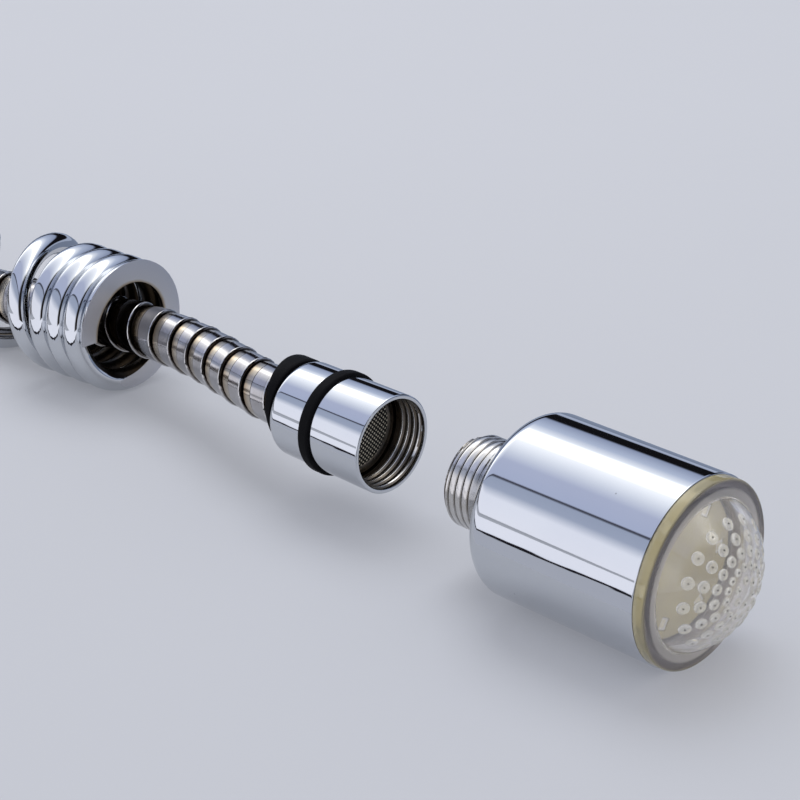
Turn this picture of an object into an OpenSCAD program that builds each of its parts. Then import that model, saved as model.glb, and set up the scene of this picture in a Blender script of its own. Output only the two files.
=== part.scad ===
// Handheld bath sprayer: a spray head with a lit face, its loose hose coupling, the ribbed
// steel hose and the chrome spring that the hose runs through. The head lies unscrewed in front
// of the coupling, on the coupling's own axis. X is that axis, towards the face, and Z is up.

/* [Spray head] */
// Outer diameter of the chrome body
head_d = 41; // [40.6:0.2:44]
// Length of the straight chrome wall, from the front rim back to the shoulder
head_wall_len = 39.5; // [39:0.5:50]
// Length of the cone between the shoulder and the neck
cone_len = 9; // [7:0.5:12]
// Radius that rounds the shoulder
shoulder_r = 4; // [2:0.5:5]
// Wall thickness of the chrome body
head_wall = 2.3; // [1.8:0.1:2.6]

/* [Neck thread] */
// Outer diameter of the threaded neck, which is a G1/2 thread
thread_d = 20.9; // [20.5:0.1:21.2]
// Length of the threaded neck
neck_len = 10; // [9.5:0.5:13]
// Water bore through the neck
neck_bore_d = 14; // [12:0.5:15]
// Width of the flat ring between the neck and the cone
neck_flat = 1.6; // [0.8:0.1:2.2]

/* [Spray face] */
// Thickness of the clear rim that stands in front of the chrome
face_rim_t = 2.6; // [2:0.2:4]
// Width of the flat rim outside the dome
rim_w = 3.7; // [3.2:0.1:4.2]
// Height of the dome above the rim
dome_h = 9.5; // [8:0.5:11]
// Wall thickness of the dome
dome_t = 2; // [1.6:0.1:2.4]
// Wall thickness of the skirt that carries the face inside the chrome
skirt_t = 1.9; // [1.7:0.1:2.1]
// Number of radial rows of nozzles
nozzle_rows = 16; // [12:1:17]
// Nozzles in each row
nozzles_per_row = 4; // [3:1:4]
// Distance of the first nozzle of a row from the middle
nozzle_first_r = 5.4; // [5.2:0.1:5.8]
// Distance of the last nozzle of a row from the dome's edge
nozzle_margin = 3.3; // [2.9:0.1:3.6]
// Diameter of a raised nozzle
nozzle_d = 1.7; // [1.4:0.1:1.8]
// Water hole in a nozzle
nozzle_bore_d = 0.7; // [0.5:0.1:0.9]
// Height of a nozzle above the dome
nozzle_h = 0.5; // [0.3:0.1:0.8]
// Thickness of the rubber ring that seals the face
seal_d = 1.3; // [1.1:0.1:1.4]

/* [Generator and lights] */
// Width of the water passage round the sealed generator cup
water_gap = 3.15; // [2.8:0.05:4]
// Depth of the cup in front of its flange
cup_depth = 14; // [12:0.5:14.5]
// Wall thickness of the cup
cup_wall = 1.2; // [1:0.1:1.6]
// Thickness of the flange that carries the cup
flange_t = 2.2; // [2:0.1:2.6]
// Water holes in the flange
flange_holes = 12; // [8:1:16]
// Gap between the light board and the skirt
board_gap = 1.65; // [1.3:0.05:2.2]
// Gap between the pale cover over the board and the skirt
cover_gap = 0.95; // [0.6:0.05:1.3]
// Thickness of the cover
cover_t = 1.4; // [1.2:0.1:1.6]
// Number of lights
light_count = 6; // [4:1:8]
// Width of a light
light_size = 2.6; // [2:0.1:3]
// Distance of the lights' middles from the cover's edge
light_inset = 3.2; // [3:0.1:6]
// Thickness of the swirl plate
swirl_t = 3; // [2.6:0.1:3.6]
// Depth of the cage between the swirl plate and the generator
cage_depth = 13; // [12:0.5:14]
// Water jets in the swirl plate
jet_count = 6; // [4:1:8]
// Diameter of a water jet
jet_d = 3; // [2:0.1:3.4]
// Gap between the turbine wheel's blades and the cage
wheel_gap = 1.65; // [1:0.05:3]
// Length of the turbine wheel
wheel_len = 5; // [4:0.5:5.5]
// Number of turbine blades
blade_count = 9; // [6:1:12]
// Tilt of the blades and of the jets
blade_tilt = 25; // [15:1:35]
// Diameter of the turbine shaft
shaft_d = 2; // [1.6:0.1:2.4]
// Outer diameter of a shaft bush
bush_d = 4.8; // [4.2:0.1:5.4]
// Diameter of the magnet rotor
rotor_d = 16; // [13:0.5:18]
// Length of the magnet rotor
rotor_len = 4.4; // [3.6:0.1:4.6]
// Gap between the copper winding and the cup
winding_gap = 0.6; // [0.3:0.1:1]
// Width of the winding
winding_w = 4.7; // [3.5:0.1:5.5]

/* [Coupling] */
// Outer diameter of the coupling at its mouth
sleeve_d = 23.2; // [23:0.1:23.8]
// Outer diameter of the coupling at its rear end
sleeve_rear_d = 22.8; // [22.4:0.1:23.2]
// Length of the coupling
sleeve_len = 29; // [28.5:0.5:30.5]
// Radius that rounds the coupling's rear end
sleeve_round = 2.5; // [1.5:0.1:3]
// Depth of the threaded mouth, down to the flange of the hose end
mouth_depth = 12; // [11:0.1:12.2]
// Distance from the mouth to the rubber band round the coupling
band_front_x = 14.8; // [14.8:0.1:16]
// Width of that band
band_w = 3; // [2.4:0.1:3.4]
// Height of that band above the metal
band_proud = 0.8; // [0.4:0.1:1]
// Depth of the groove that holds it
band_groove = 0.7; // [0.5:0.1:0.9]
// Outer diameter of the rubber ring behind the coupling
rear_band_d = 22.6; // [22:0.1:22.8]
// Length of that ring at its longest
rear_band_long = 5.3; // [4.5:0.1:6]
// Length of that ring at its shortest
rear_band_short = 0.5; // [0.4:0.1:1]
// Where that ring is longest, in degrees from the top
rear_band_lean = 26; // [0:1:45]
// Thickness of the rubber washer in the mouth
washer_t = 2; // [1.6:0.1:2.4]
// Thickness of the strainer
strainer_t = 0.6; // [0.4:0.1:0.8]
// Distance between the unscrewed neck and the coupling's mouth
head_gap = 24; // [14:1:60]

/* [Hose] */
// Outer diameter of the ribbed steel hose
hose_d = 14; // [13.6:0.1:14.2]
// Distance from one rib of the hose to the next
rib_pitch = 8.6; // [7.6:0.1:9.4]
// Depth of the groove between two ribs
rib_depth = 0.6; // [0.4:0.1:0.8]
// Wall thickness of the hose end's outer barrel
barrel_t = 0.8; // [0.6:0.1:1]
// Bore of the steel hose
hose_bore_d = 11.4; // [11.2:0.1:11.6]
// Outer diameter of the inner rubber hose
inner_d = 10.4; // [9.8:0.1:10.6]
// Bore of the inner rubber hose
inner_bore_d = 7; // [6.4:0.1:7.4]
// Length of the whole hose between its two end fittings
hose_len = 1200; // [1150:10:1300]

/* [Spring] */
// Outer diameter of the spring
spring_d = 35.2; // [34.8:0.1:36]
// Diameter of the spring wire
wire_d = 5.8; // [5.4:0.1:5.9]
// Gap between closed turns
closed_gap = 0.5; // [0.45:0.05:0.7]
// Closed turns at the mouth of the spring
closed_turns = 4; // [3:1:5]
// Open turns in the middle
open_turns = 3; // [2:1:3]
// Pitch of the open turns
open_pitch = 34.1; // [28:0.1:35]
// Closed turns at the far end
rear_turns = 2; // [2:1:3]
// Distance from the coupling's mouth back to the spring's mouth
spring_back = 99.5; // [96:0.5:106]
// Sideways distance of the spring's mouth from the coupling's axis
spring_side = 7.8; // [6.8:0.2:8.8]
// Angle between the spring and the coupling, seen from above
spring_turn = 5; // [4.6:0.1:5.4]

/* [Supply end] */
// Width of the supply nut across its flats
nut_flats = 24; // [23.6:0.1:24.2]
// Length of the supply nut
nut_len = 15; // [13:0.5:18]

/* [Fits] */
// Gap at a running fit, on the radius
run_gap = 0.05; // [0.02:0.01:0.08]
// Gap round pieces that are put together once
seat_gap = 0.15; // [0.1:0.01:0.2]
// Gap at a screwed fit, on the radius
thread_gap = 0.1; // [0.06:0.01:0.12]

/* [Hidden] */

cut = 1;                    // how far a cutting solid runs past the face it cuts
fine_fn = 96;
small_fn = 32;

// Head: h is the distance along its axis from the chrome's front rim, negative to the rear
head_r = head_d / 2;
axis_z = head_r;            // the head lies on its own wall, so its axis is one radius up
thread_r = thread_d / 2;
neck_bore_r = neck_bore_d / 2;
cone_back_h = -(head_wall_len + cone_len);
head_back_h = cone_back_h - neck_len;
cavity_r = head_r - head_wall;
cavity_back_h = -(head_wall_len - head_wall);
ledge_w = 3.2;              // the ledge that the swirl plate stands on
funnel_r = cavity_r - ledge_w;
funnel_lift = 1.5;
funnel_back_h = cone_back_h + funnel_lift;
chamfer = 0.6;
cone_foot = [thread_r + neck_flat, cone_back_h];
shoulder_c = [head_r - shoulder_r, -head_wall_len];
foot_arm = cone_foot - shoulder_c;
shoulder_end = atan2(foot_arm[1], foot_arm[0]) + acos(shoulder_r / norm(foot_arm));

// Face: a skirt inside the chrome carries the rim and the dome
skirt_r = cavity_r - seat_gap;
skirt_in_r = skirt_r - skirt_t;
rim_inset = 0.3;
face_rim_r = head_r - rim_inset;
dome_r = face_rim_r - rim_w;
ball_r = (dome_r * dome_r + dome_h * dome_h) / (2 * dome_h);
ball_h = face_rim_t + dome_h - ball_r;
ball_in_r = ball_r - dome_t;
dome_foot = asin(dome_r / ball_r);
dome_in_h = ball_h + ball_in_r * cos(dome_foot);
nozzle_step = (dome_r - nozzle_margin - nozzle_first_r) / (nozzles_per_row - 1);
middle_nozzles = 6;
middle_nozzle_r = 2.6;
seal_h = -3.2;
seal_floor_r = cavity_r - seal_d;
seal_ease = 0.02;
seal_play = 0.3;
seal_side = seal_d / 2 + seal_play;

// Stack in the head, from the swirl plate forward to the cover over the lights
swirl_front_h = cavity_back_h + swirl_t;
cage_front_h = swirl_front_h + cage_depth;
flange_front_h = cage_front_h + flange_t;
cup_r = skirt_in_r - water_gap;
cup_front_h = flange_front_h + cup_depth;
board_t = 1.2;
board_front_h = cup_front_h + board_t;
cover_r = skirt_in_r - cover_gap;
light_ring_r = cover_r - light_inset;
light_t = 1.2;
light_window = light_size + 2 * seat_gap;
cage_t = 1.4;
wheel_r = skirt_r - cage_t - wheel_gap;
jet_inset = 4.6;            // distance of the jets' middles from the rim of the wheel
jet_r = wheel_r - jet_inset;
flange_hole_d = 2;
flange_hole_r = (cup_r + skirt_in_r) / 2;

// Turbine
shaft_r = shaft_d / 2;
bush_r = bush_d / 2;
bush_len = 1.8;
hub_r = 3.2;
blade_t = 1.2;
shaft_play = 0.2;
wheel_rear_gap = 1.6;
wheel_back_h = swirl_front_h + wheel_rear_gap;
rotor_back_h = wheel_back_h + wheel_len;
winding_r = cup_r - cup_wall - winding_gap;
winding_len = 9;

// Coupling: k is the distance along its axis from its mouth, negative to the rear
sleeve_r = sleeve_d / 2;
sleeve_rear_r = sleeve_rear_d / 2;
mouth_r = thread_r + thread_gap;
hose_r = hose_d / 2;
barrel_r = hose_r + seat_gap + barrel_t;
sleeve_bore_r = barrel_r + run_gap;
flange_len = 2;
flange_back_k = -(mouth_depth + flange_len);
flange_play = 0.2;
relief_deep = 0.35;         // the thread ends in a wider relief, which holds the washer
relief_len = 3;
relief_r = mouth_r + relief_deep;
relief_front_k = -(mouth_depth - relief_len);
mouth_play = 0.2;           // round the flange and the washers that pass the thread
flange_r = mouth_r - mouth_play;
hose_sides = 8;
hose_front_x = 20;
inner_bore_r = inner_bore_d / 2;
barb_r = inner_bore_r * cos(180 / hose_sides) - seat_gap;
barb_len = 10;
barb_wall = 0.7;
washer_r = mouth_r - mouth_play;
washer_in_r = 7.2;
washer_front_k = -(mouth_depth - washer_t);
mesh_r = 8;
mesh_pitch = 1.5;
mesh_hole_r = 0.5;
mesh_rows = floor(mesh_r / (mesh_pitch * sin(60)));
mesh_cols = ceil(mesh_r / mesh_pitch) + 1;

// Ring behind the coupling, which stands on the end of the hose end's barrel
rear_gap = 0.3;             // keeps the turning coupling off the ring
rear_band_front_k = -(sleeve_len + rear_gap);
rear_band_mid_k = rear_band_front_k - (rear_band_long + rear_band_short) / 2;
rear_band_tilt = atan((rear_band_long - rear_band_short) / rear_band_d);

// Spring: u counts turns from the middle of the ground turn at its mouth
spring_r = spring_d / 2;
wire_r = wire_d / 2;
turn_r = spring_r - wire_r;
closed_pitch = wire_d + closed_gap;
end_arc = 0.35;             // how far the ground turns run past their middle, in turns
ground_depth = 0.3;         // wire left in front of its own middle there
pitch_ease = 0.8;           // turns over which the pitch changes
curl_rings = 8;
wire_sides = 6;
turns = closed_turns + open_turns + rear_turns - 1;
open_from = closed_turns - 1 + end_arc;
spring_len = closed_pitch * turns + (open_pitch - closed_pitch) * open_turns + 2 * ground_depth;
spring_mouth = [-spring_back, spring_side, spring_r];
spring_end = spring_mouth - spring_len * [cos(spring_turn), sin(spring_turn), 0];

// Supply end
ferrule_wall = 0.9;
ferrule_r = hose_r + ferrule_wall;
ferrule_len = 8;
ferrule_flange_play = 0.5;
ferrule_flange_r = mouth_r - ferrule_flange_play;
nut_collar_len = 3;
nut_relief_len = 1;
nut_shoulder = ferrule_len - flange_len - flange_play;
nut_back = nut_shoulder - nut_collar_len;
nut_front = nut_back + nut_len;

// The origin is the middle of the floor outline of the solid object, without its free hose
head_x = head_gap - head_back_h;
tip_tilt = asin(middle_nozzle_r / ball_r);
tip_h = ball_h + (ball_r + nozzle_h) * cos(tip_tilt) + nozzle_d / 2 * sin(tip_tilt);
front_x = head_x + max(tip_h, face_rim_t + dome_h);
rear_x = spring_end[0] - spring_r * sin(spring_turn);
low_y = -head_r;
high_y = max(head_r, spring_mouth[1] + spring_r * cos(spring_turn));
origin = [(front_x + rear_x) / 2, (low_y + high_y) / 2, 0];

// Route of the hose from its front fitting to the coil, measured from the coupling's mouth
lie_gap = 0.8;
lie_z = wire_d + hose_r + lie_gap;      // the hose lies low in the spring's open turns
hose_route = [
    [-20, 0, axis_z], [-36, 0, axis_z], [-48, 1.6, axis_z - 0.1], [-60, 4.4, axis_z - 0.6],
    [-72, 7, axis_z - 1.3], [-86, 8.3, axis_z - 2], [-100, 8, axis_z - 2.7],
    [-115, 6.6, lie_z + 2.7], [-130, 5.2, lie_z + 1.2], [-150, 3.4, lie_z + 0.2],
    [-180, 0.8, lie_z], [-210, -1.8, lie_z], [-236, -4.1, lie_z - 0.4],
    [-254, -5.9, lie_z - 1.8], [-274, -8.6, hose_r + 2.4], [-292, -10.5, hose_r + 0.6],
    [-306, -11, hose_r + 0.1], [-320, -11, hose_r]
];
guided_len = 236;           // ribbed stretch: from the front fitting through the spring
stub_len = 1;               // straight start and end of each free stretch
coil_r = 84;
coil_step = 15;
coil_centre = [-334, -95, hose_r];
layer_gap = 0.5;
coil_rise = hose_d + layer_gap;
coil_rings = 24;
coil_sides = 6;
end_rise = 7;               // lifts the supply nut, so that its corners turn clear of the coil
end_rise_arc = 60;
tail_step = 14;

// A smooth rise from 0 to 1
function smooth(t) = t <= 0 ? 0 : t >= 1 ? 1 : t * t * (3 - 2 * t);
function unit(v) = v / norm(v);
function arc(c, r, a, b, n) = [for (i = [0:n]) let (t = a + (b - a) * i / n)
    c + r * [cos(t), sin(t)]];

// A smooth curve through points, its running length, and the point at a length along it
function spline_point(p, i, t) =
    let (a = p[max(i - 1, 0)], b = p[i], c = p[i + 1], d = p[min(i + 2, len(p) - 1)])
    0.5 * (2 * b + (c - a) * t + (2 * a - 5 * b + 4 * c - d) * t * t
        + (3 * b - a - 3 * c + d) * t * t * t);
function spline(p, n) = concat(
    [for (i = [0:len(p) - 2], k = [0:n - 1]) spline_point(p, i, k / n)], [p[len(p) - 1]]);
function steps(p) = [for (i = 1, s = 0; i <= len(p); s = s + norm(p[min(i, len(p) - 1)] - p[i - 1]),
    i = i + 1) s];
function span_at(s, d, a, b) = b - a < 2 ? a
    : let (m = floor((a + b) / 2)) s[m] <= d ? span_at(s, d, m, b) : span_at(s, d, a, m);
function point_at(p, s, d) = let (k = span_at(s, d, 0, len(s) - 1))
    p[k] + (p[k + 1] - p[k]) * (d - s[k]) / (s[k + 1] - s[k]);

route = spline(hose_route, 8);
route_s = steps(route);
route_len = route_s[len(route_s) - 1];

// Points along the ribbed stretch, with the ribs' outer radii, and along the plain rest
rib_flat = 0.7;             // share of a rib that is not groove
rib_count = floor((guided_len - stub_len) / rib_pitch);
jacket_s = concat([for (i = [0:rib_count - 1], k = [0, rib_flat]) (i + k) * rib_pitch],
    [guided_len - stub_len, guided_len]);
jacket_r = concat([for (i = [0:rib_count - 1], k = [0, 1]) hose_r - k * rib_depth],
    [hose_r, hose_r]);
guided_path = [for (s = jacket_s) point_at(route, route_s, s)];
inner_path = concat([for (i = [0:2:len(guided_path) - 3]) guided_path[i]],
    [guided_path[len(guided_path) - 2], guided_path[len(guided_path) - 1]]);
tail_count = ceil((route_len - guided_len) / tail_step);
tail_s = concat([guided_len, guided_len + stub_len],
    [for (i = [1:tail_count - 1]) guided_len + (route_len - guided_len) * i / tail_count],
    [route_len - stub_len, route_len]);
tail_path = [for (s = tail_s) point_at(route, route_s, s)];

// The coil: one turn in on the floor, half a turn to climb, then out again on top
function coil_radius(a) = a <= 360 ? coil_r - coil_step * a / 360
    : a >= 540 ? coil_r - coil_step + coil_step * (a - 540) / 360
    : coil_r - coil_step - coil_step * (a - 360) * (540 - a) / (180 * 360);
function coil_point(a) = coil_centre
    + [-coil_radius(a) * sin(a), coil_radius(a) * cos(a), coil_rise * smooth((a - 360) / 180)];
climb_s = steps([for (a = [360:15:540]) coil_point(a)]);
top_len = hose_len - route_len - 2 * hose_d - PI * (2 * coil_r - coil_step)
    - climb_s[len(climb_s) - 1];
coil_in_r = coil_r - coil_step;
coil_growth = coil_step / (2 * PI);
top_turn = (sqrt(coil_in_r * coil_in_r + 2 * coil_growth * top_len) - coil_in_r) / coil_growth;
coil_end_a = 540 + top_turn * 180 / PI;
coil_steps = round(coil_end_a / 360 * coil_rings);
end_heading = [-cos(coil_end_a), -sin(coil_end_a), 0];
end_point = coil_point(coil_end_a) + [0, 0, end_rise] + hose_d * end_heading;
coil_path = concat([coil_centre + [hose_d, coil_r, 0]],
    [for (k = [0:coil_steps]) let (a = coil_end_a * k / coil_steps)
        coil_point(a) + [0, 0, end_rise * smooth((a - coil_end_a) / end_rise_arc + 1)]],
    [end_point]);

// The spring's wire: distance back from its ground face, and place round its axis
function ramp(u) = u < 0 ? 0 : u < pitch_ease ? u * u / (2 * pitch_ease) : u - pitch_ease / 2;
function wire_back(u) = ground_depth + closed_pitch * (u - sin(360 * u) / (2 * PI))
    + (open_pitch - closed_pitch) * (ramp(u - open_from) - ramp(u - open_from - open_turns));
function wire_point(u) = let (a = 360 * (u + end_arc) - 180)
    [-wire_back(u), turn_r * cos(a), -turn_r * sin(a)];
wire_steps = ceil((turns + 2 * end_arc) * curl_rings);
wire_path = [for (k = [0:wire_steps]) wire_point(-end_arc + (turns + 2 * end_arc) * k / wire_steps)];

// Least gap of a wound tube to itself, from points more than one bend apart
function tube_gap(p, apart, d) = min([for (i = [0:len(p) - 1 - apart], j = [i + apart:len(p) - 1])
    norm(p[i] - p[j])]) - d;
echo(spring_gap = tube_gap(wire_path, curl_rings - 2, wire_d));
echo(coil_gap = tube_gap(coil_path, coil_rings / 2, hose_d));
echo(route_len = route_len, coil_turns = coil_end_a / 360);

// Rings of points round a path, squared to it, with one radius for each point
function heading(p, i) = unit(p[min(i + 1, len(p) - 1)] - p[max(i - 1, 0)]);
function ring(c, t, r, n, up) = let (side = unit(cross(t, up)), top = cross(side, t))
    [for (j = [0:n - 1]) c + r * (sin(360 * j / n) * side + cos(360 * j / n) * top)];
function rings(p, radii, n, wound = false) = [for (i = [0:len(p) - 1])
    each ring(p[i], heading(p, i), radii[i], n, wound ? [0, p[i][1], p[i][2]] : [0, 0, 1])];
function wall(first, count, n, turned) = [for (i = [0:count - 2], j = [0:n - 1])
    let (a = first + i * n + j, b = first + i * n + (j + 1) % n)
    each (turned ? [[a, b, b + n], [a, b + n, a + n]] : [[a, b + n, b], [a, a + n, b + n]])];
function cap(first, n, turned) = [for (j = [1:n - 2])
    turned ? [first, first + j, first + j + 1] : [first, first + j + 1, first + j]];
function band(first, other, n, turned) = [for (j = [0:n - 1])
    let (a = first + j, b = first + (j + 1) % n, c = other + j, d = other + (j + 1) % n)
    each (turned ? [[a, d, b], [a, c, d]] : [[a, b, d], [a, d, c]])];

// A solid tube along a path, from its rings of points
module tube(points, n) {
    count = len(points) / n;
    polyhedron(points, concat(
        wall(0, count, n, false), cap(0, n, true), cap((count - 1) * n, n, false)));
}
module rod(p, r, n) tube(rings(p, [for (q = p) r], n), n);

// A tube with a bore along a path, with one outer radius for each point
module pipe(p, radii, bore, n) {
    count = len(p);
    inside = count * n;
    polyhedron(concat(rings(p, radii, n), rings(p, [for (q = p) bore], n)), concat(
        wall(0, count, n, false), wall(inside, count, n, true),
        band(0, inside, n, false), band((count - 1) * n, inside + (count - 1) * n, n, true)));
}

// Solids of revolution: the profile's x is the radius and its y runs along the axis
module turned(profile) rotate_extrude($fn = fine_fn) polygon(profile);
module collar(inner, outer, back, front) {
    turned([[inner, back], [outer, back], [outer, front], [inner, front]]);
}
module in_head() translate([head_x, 0, axis_z] - origin) rotate([0, 90, 0]) children();
module in_coupling() translate([0, 0, axis_z] - origin) rotate([0, 90, 0]) children();
module at_supply() translate(end_point - origin) rotate([0, 0, coil_end_a + 180])
    rotate([0, 90, 0]) children();
module bar(d, back, front) translate([0, 0, back]) cylinder(h = front - back, d = d, $fn = small_fn);

module head_shell() color("silver") in_head() turned(concat(
    [[neck_bore_r, head_back_h], [thread_r - chamfer, head_back_h],
        [thread_r, head_back_h + chamfer], [thread_r, cone_back_h], cone_foot],
    arc(shoulder_c, shoulder_r, shoulder_end, 0, 6),
    [[head_r, 0], [cavity_r, 0], [cavity_r, cavity_back_h], [funnel_r, cavity_back_h],
        [neck_bore_r, funnel_back_h]]));

// A place on the dome, seen from its ball's middle
module on_dome(r, a) translate([0, 0, ball_h]) rotate([0, 0, a]) rotate([0, asin(r / ball_r), 0])
    children();
module each_nozzle() {
    for (row = [0:nozzle_rows - 1], i = [0:nozzles_per_row - 1])
        on_dome(nozzle_first_r + i * nozzle_step, 360 * row / nozzle_rows) children();
    for (i = [0:middle_nozzles - 1]) on_dome(middle_nozzle_r, 360 * i / middle_nozzles) children();
}
module spray_face() color("lightyellow", 0.6) in_head() difference() {
    union() {
        turned(concat(
            [[skirt_in_r, flange_front_h], [skirt_r, flange_front_h],
                [skirt_r, seal_h - seal_side], [seal_floor_r, seal_h - seal_side],
                [seal_floor_r, seal_h + seal_side], [skirt_r, seal_h + seal_side],
                [skirt_r, 0], [face_rim_r, 0], [face_rim_r, face_rim_t - chamfer],
                [face_rim_r - chamfer, face_rim_t]],
            arc([0, ball_h], ball_r, 90 - dome_foot, 90, 16),
            arc([0, ball_h], ball_in_r, 90, 90 - dome_foot, 16),
            [[skirt_in_r, dome_in_h]]));
        each_nozzle() bar(nozzle_d, ball_r - dome_t / 2, ball_r + nozzle_h);
    }
    each_nozzle() bar(nozzle_bore_d, ball_in_r - cut, ball_r + nozzle_h + cut);
}
module face_seal() color("dimgray") in_head() rotate_extrude($fn = fine_fn)
    translate([cavity_r - seal_d / 2, seal_h]) circle(d = seal_d - 2 * seal_ease, $fn = small_fn);

module each_light() for (i = [0:light_count - 1]) rotate([0, 0, 360 * (i + 0.5) / light_count])
    translate([light_ring_r, 0, board_front_h]) children();
module light_cover() color("ivory") in_head() difference() {
    cylinder_at(cover_r, board_front_h, board_front_h + cover_t);
    each_light() translate([-light_window / 2, -light_window / 2, -cut])
        cube([light_window, light_window, cover_t + 2 * cut]);
}
module cylinder_at(r, back, front) translate([0, 0, back])
    cylinder(h = front - back, r = r, $fn = fine_fn);
module lights() color("gold") in_head() each_light()
    translate([-light_size / 2, -light_size / 2, 0]) cube([light_size, light_size, light_t]);
module light_board() color("darkgreen") in_head()
    cylinder_at(skirt_in_r - board_gap, cup_front_h, board_front_h);

module generator_cup() color("white") in_head() difference() {
    turned([[0, cage_front_h], [skirt_r, cage_front_h], [skirt_r, flange_front_h],
        [cup_r, flange_front_h], [cup_r, cup_front_h], [cup_r - cup_wall, cup_front_h],
        [cup_r - cup_wall, flange_front_h], [0, flange_front_h]]);
    cylinder_at(bush_r + run_gap, cage_front_h - cut, cage_front_h + bush_len);
    for (i = [0:flange_holes - 1]) rotate([0, 0, 360 * i / flange_holes])
        translate([flange_hole_r, 0, 0])
            bar(flange_hole_d, cage_front_h - cut, flange_front_h + cut);
}
module winding() color("peru") in_head()
    collar(winding_r - winding_w, winding_r, flange_front_h, flange_front_h + winding_len);
module bush() collar(shaft_r + run_gap, bush_r, 0, bush_len);
module front_bush() color("goldenrod") in_head() translate([0, 0, cage_front_h]) bush();
module rear_bush() color("goldenrod") in_head() translate([0, 0, swirl_front_h - bush_len]) bush();
module swirl_plate() color("gainsboro") in_head() difference() {
    turned([[0, cavity_back_h], [skirt_r, cavity_back_h], [skirt_r, cage_front_h],
        [skirt_r - cage_t, cage_front_h], [skirt_r - cage_t, swirl_front_h], [0, swirl_front_h]]);
    cylinder_at(bush_r + run_gap, swirl_front_h - bush_len, swirl_front_h + cut);
    for (i = [0:jet_count - 1]) rotate([0, 0, 360 * i / jet_count])
        translate([jet_r, 0, (cavity_back_h + swirl_front_h) / 2]) rotate([blade_tilt, 0, 0])
            bar(jet_d, -2 * swirl_t, 2 * swirl_t);
}

module turbine_shaft() color("lightgray") in_head()
    bar(shaft_d, swirl_front_h - bush_len + shaft_play, cage_front_h + bush_len - shaft_play);
module turbine_wheel() color("whitesmoke") in_head() translate([0, 0, wheel_back_h])
    difference() {
        union() {
            cylinder_at(hub_r, 0, wheel_len);
            intersection() {
                cylinder_at(wheel_r, 0, wheel_len);
                for (i = [0:blade_count - 1]) rotate([0, 0, 360 * i / blade_count])
                    translate([0, 0, wheel_len / 2]) rotate([-blade_tilt, 0, 0])
                        translate([hub_r / 2, -blade_t / 2, -wheel_len])
                            cube([2 * wheel_r, blade_t, 2 * wheel_len]);
            }
        }
        bar(shaft_d, -cut, wheel_len + cut);
    }
module magnet_rotor() color("dimgray") in_head()
    collar(shaft_r, rotor_d / 2, rotor_back_h, rotor_back_h + rotor_len);

// The coupling's outside radius, which tapers a little to the rear
function sleeve_out(x) = sleeve_r + (sleeve_rear_r - sleeve_r) * x / sleeve_len;
function groove(x) = let (floor_r = sleeve_out(x) - band_groove)
    [[sleeve_out(x + band_w), -x - band_w], [floor_r, -x - band_w], [floor_r, -x],
        [sleeve_out(x), -x]];
module coupling_sleeve() color("silver") in_coupling() turned(concat(
    [[sleeve_bore_r, -sleeve_len]],
    arc([sleeve_rear_r - sleeve_round, sleeve_round - sleeve_len], sleeve_round, -90, 0, 5),
    groove(band_front_x),
    [[sleeve_r, -chamfer], [sleeve_r - chamfer, 0], [mouth_r + chamfer / 2, 0],
        [mouth_r, -chamfer], [mouth_r, relief_front_k], [relief_r, relief_front_k],
        [relief_r, flange_back_k], [sleeve_bore_r, flange_back_k]]));
module front_band() color("black") in_coupling()
    let (x = band_front_x, metal = sleeve_out(x), low = metal - band_groove)
    turned(concat([[low, -x - band_w], [metal, -x - band_w]],
        arc([metal, -x - band_w + band_proud], band_proud, -90, 0, 4),
        arc([metal, -x - band_proud], band_proud, 0, 90, 4), [[low, -x]]));
module rear_band() color("black") in_coupling() difference() {
    collar(hose_r + seat_gap, rear_band_d / 2, rear_band_front_k - rear_band_long - cut,
        rear_band_front_k);
    translate([0, 0, rear_band_mid_k]) rotate([0, -rear_band_tilt, -rear_band_lean])
        translate([-rear_band_d, -rear_band_d, -2 * rear_band_d]) cube(2 * rear_band_d);
}

module hose_ferrule() color("goldenrod") in_coupling() turned([
    [barb_r - barb_wall, -hose_front_x - barb_len], [barb_r, -hose_front_x - barb_len],
    [barb_r, -hose_front_x], [hose_r + seat_gap, -hose_front_x],
    [hose_r + seat_gap, rear_band_front_k], [barrel_r, rear_band_front_k],
    [barrel_r, flange_back_k + flange_play], [flange_r, flange_back_k + flange_play],
    [flange_r, -mouth_depth], [barb_r - barb_wall, -mouth_depth]]);
module neck_washer() color("black") in_coupling()
    collar(washer_in_r, washer_r, -mouth_depth, washer_front_k);
module strainer() color("lightgray") in_coupling() difference() {
    cylinder_at(washer_r, washer_front_k, washer_front_k + strainer_t);
    for (row = [-mesh_rows:mesh_rows], col = [-mesh_cols:mesh_cols])
        let (p = [(col + (row % 2 == 0 ? 0 : 0.5)) * mesh_pitch, row * mesh_pitch * sin(60)])
        if (norm(p) < mesh_r - mesh_hole_r) translate([p[0], p[1], washer_front_k - cut])
            cylinder(h = strainer_t + 2 * cut, r = mesh_hole_r, $fn = 6);
}

module hose_jacket() color("lightsteelblue") translate(-origin)
    pipe(guided_path, jacket_r, hose_bore_d / 2, hose_sides);
module inner_hose() color("dimgray") translate(-origin)
    pipe(inner_path, [for (q = inner_path) inner_d / 2], inner_bore_r, hose_sides);
module hose_tail() color("lightsteelblue") translate(-origin) rod(tail_path, hose_r, hose_sides);
module hose_coil() color("lightsteelblue") translate(-origin) rod(coil_path, hose_r, coil_sides);

// The wire's rings, ground flat where they reach past either end of the spring
wire_rings = [for (q = rings(wire_path, [for (w = wire_path) wire_r], wire_sides, true))
    [max(min(q[0], 0), -spring_len), q[1], q[2]]];
module spring_coil() color("gainsboro") translate(spring_mouth - origin)
    rotate([0, 0, spring_turn]) tube(wire_rings, wire_sides);

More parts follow.
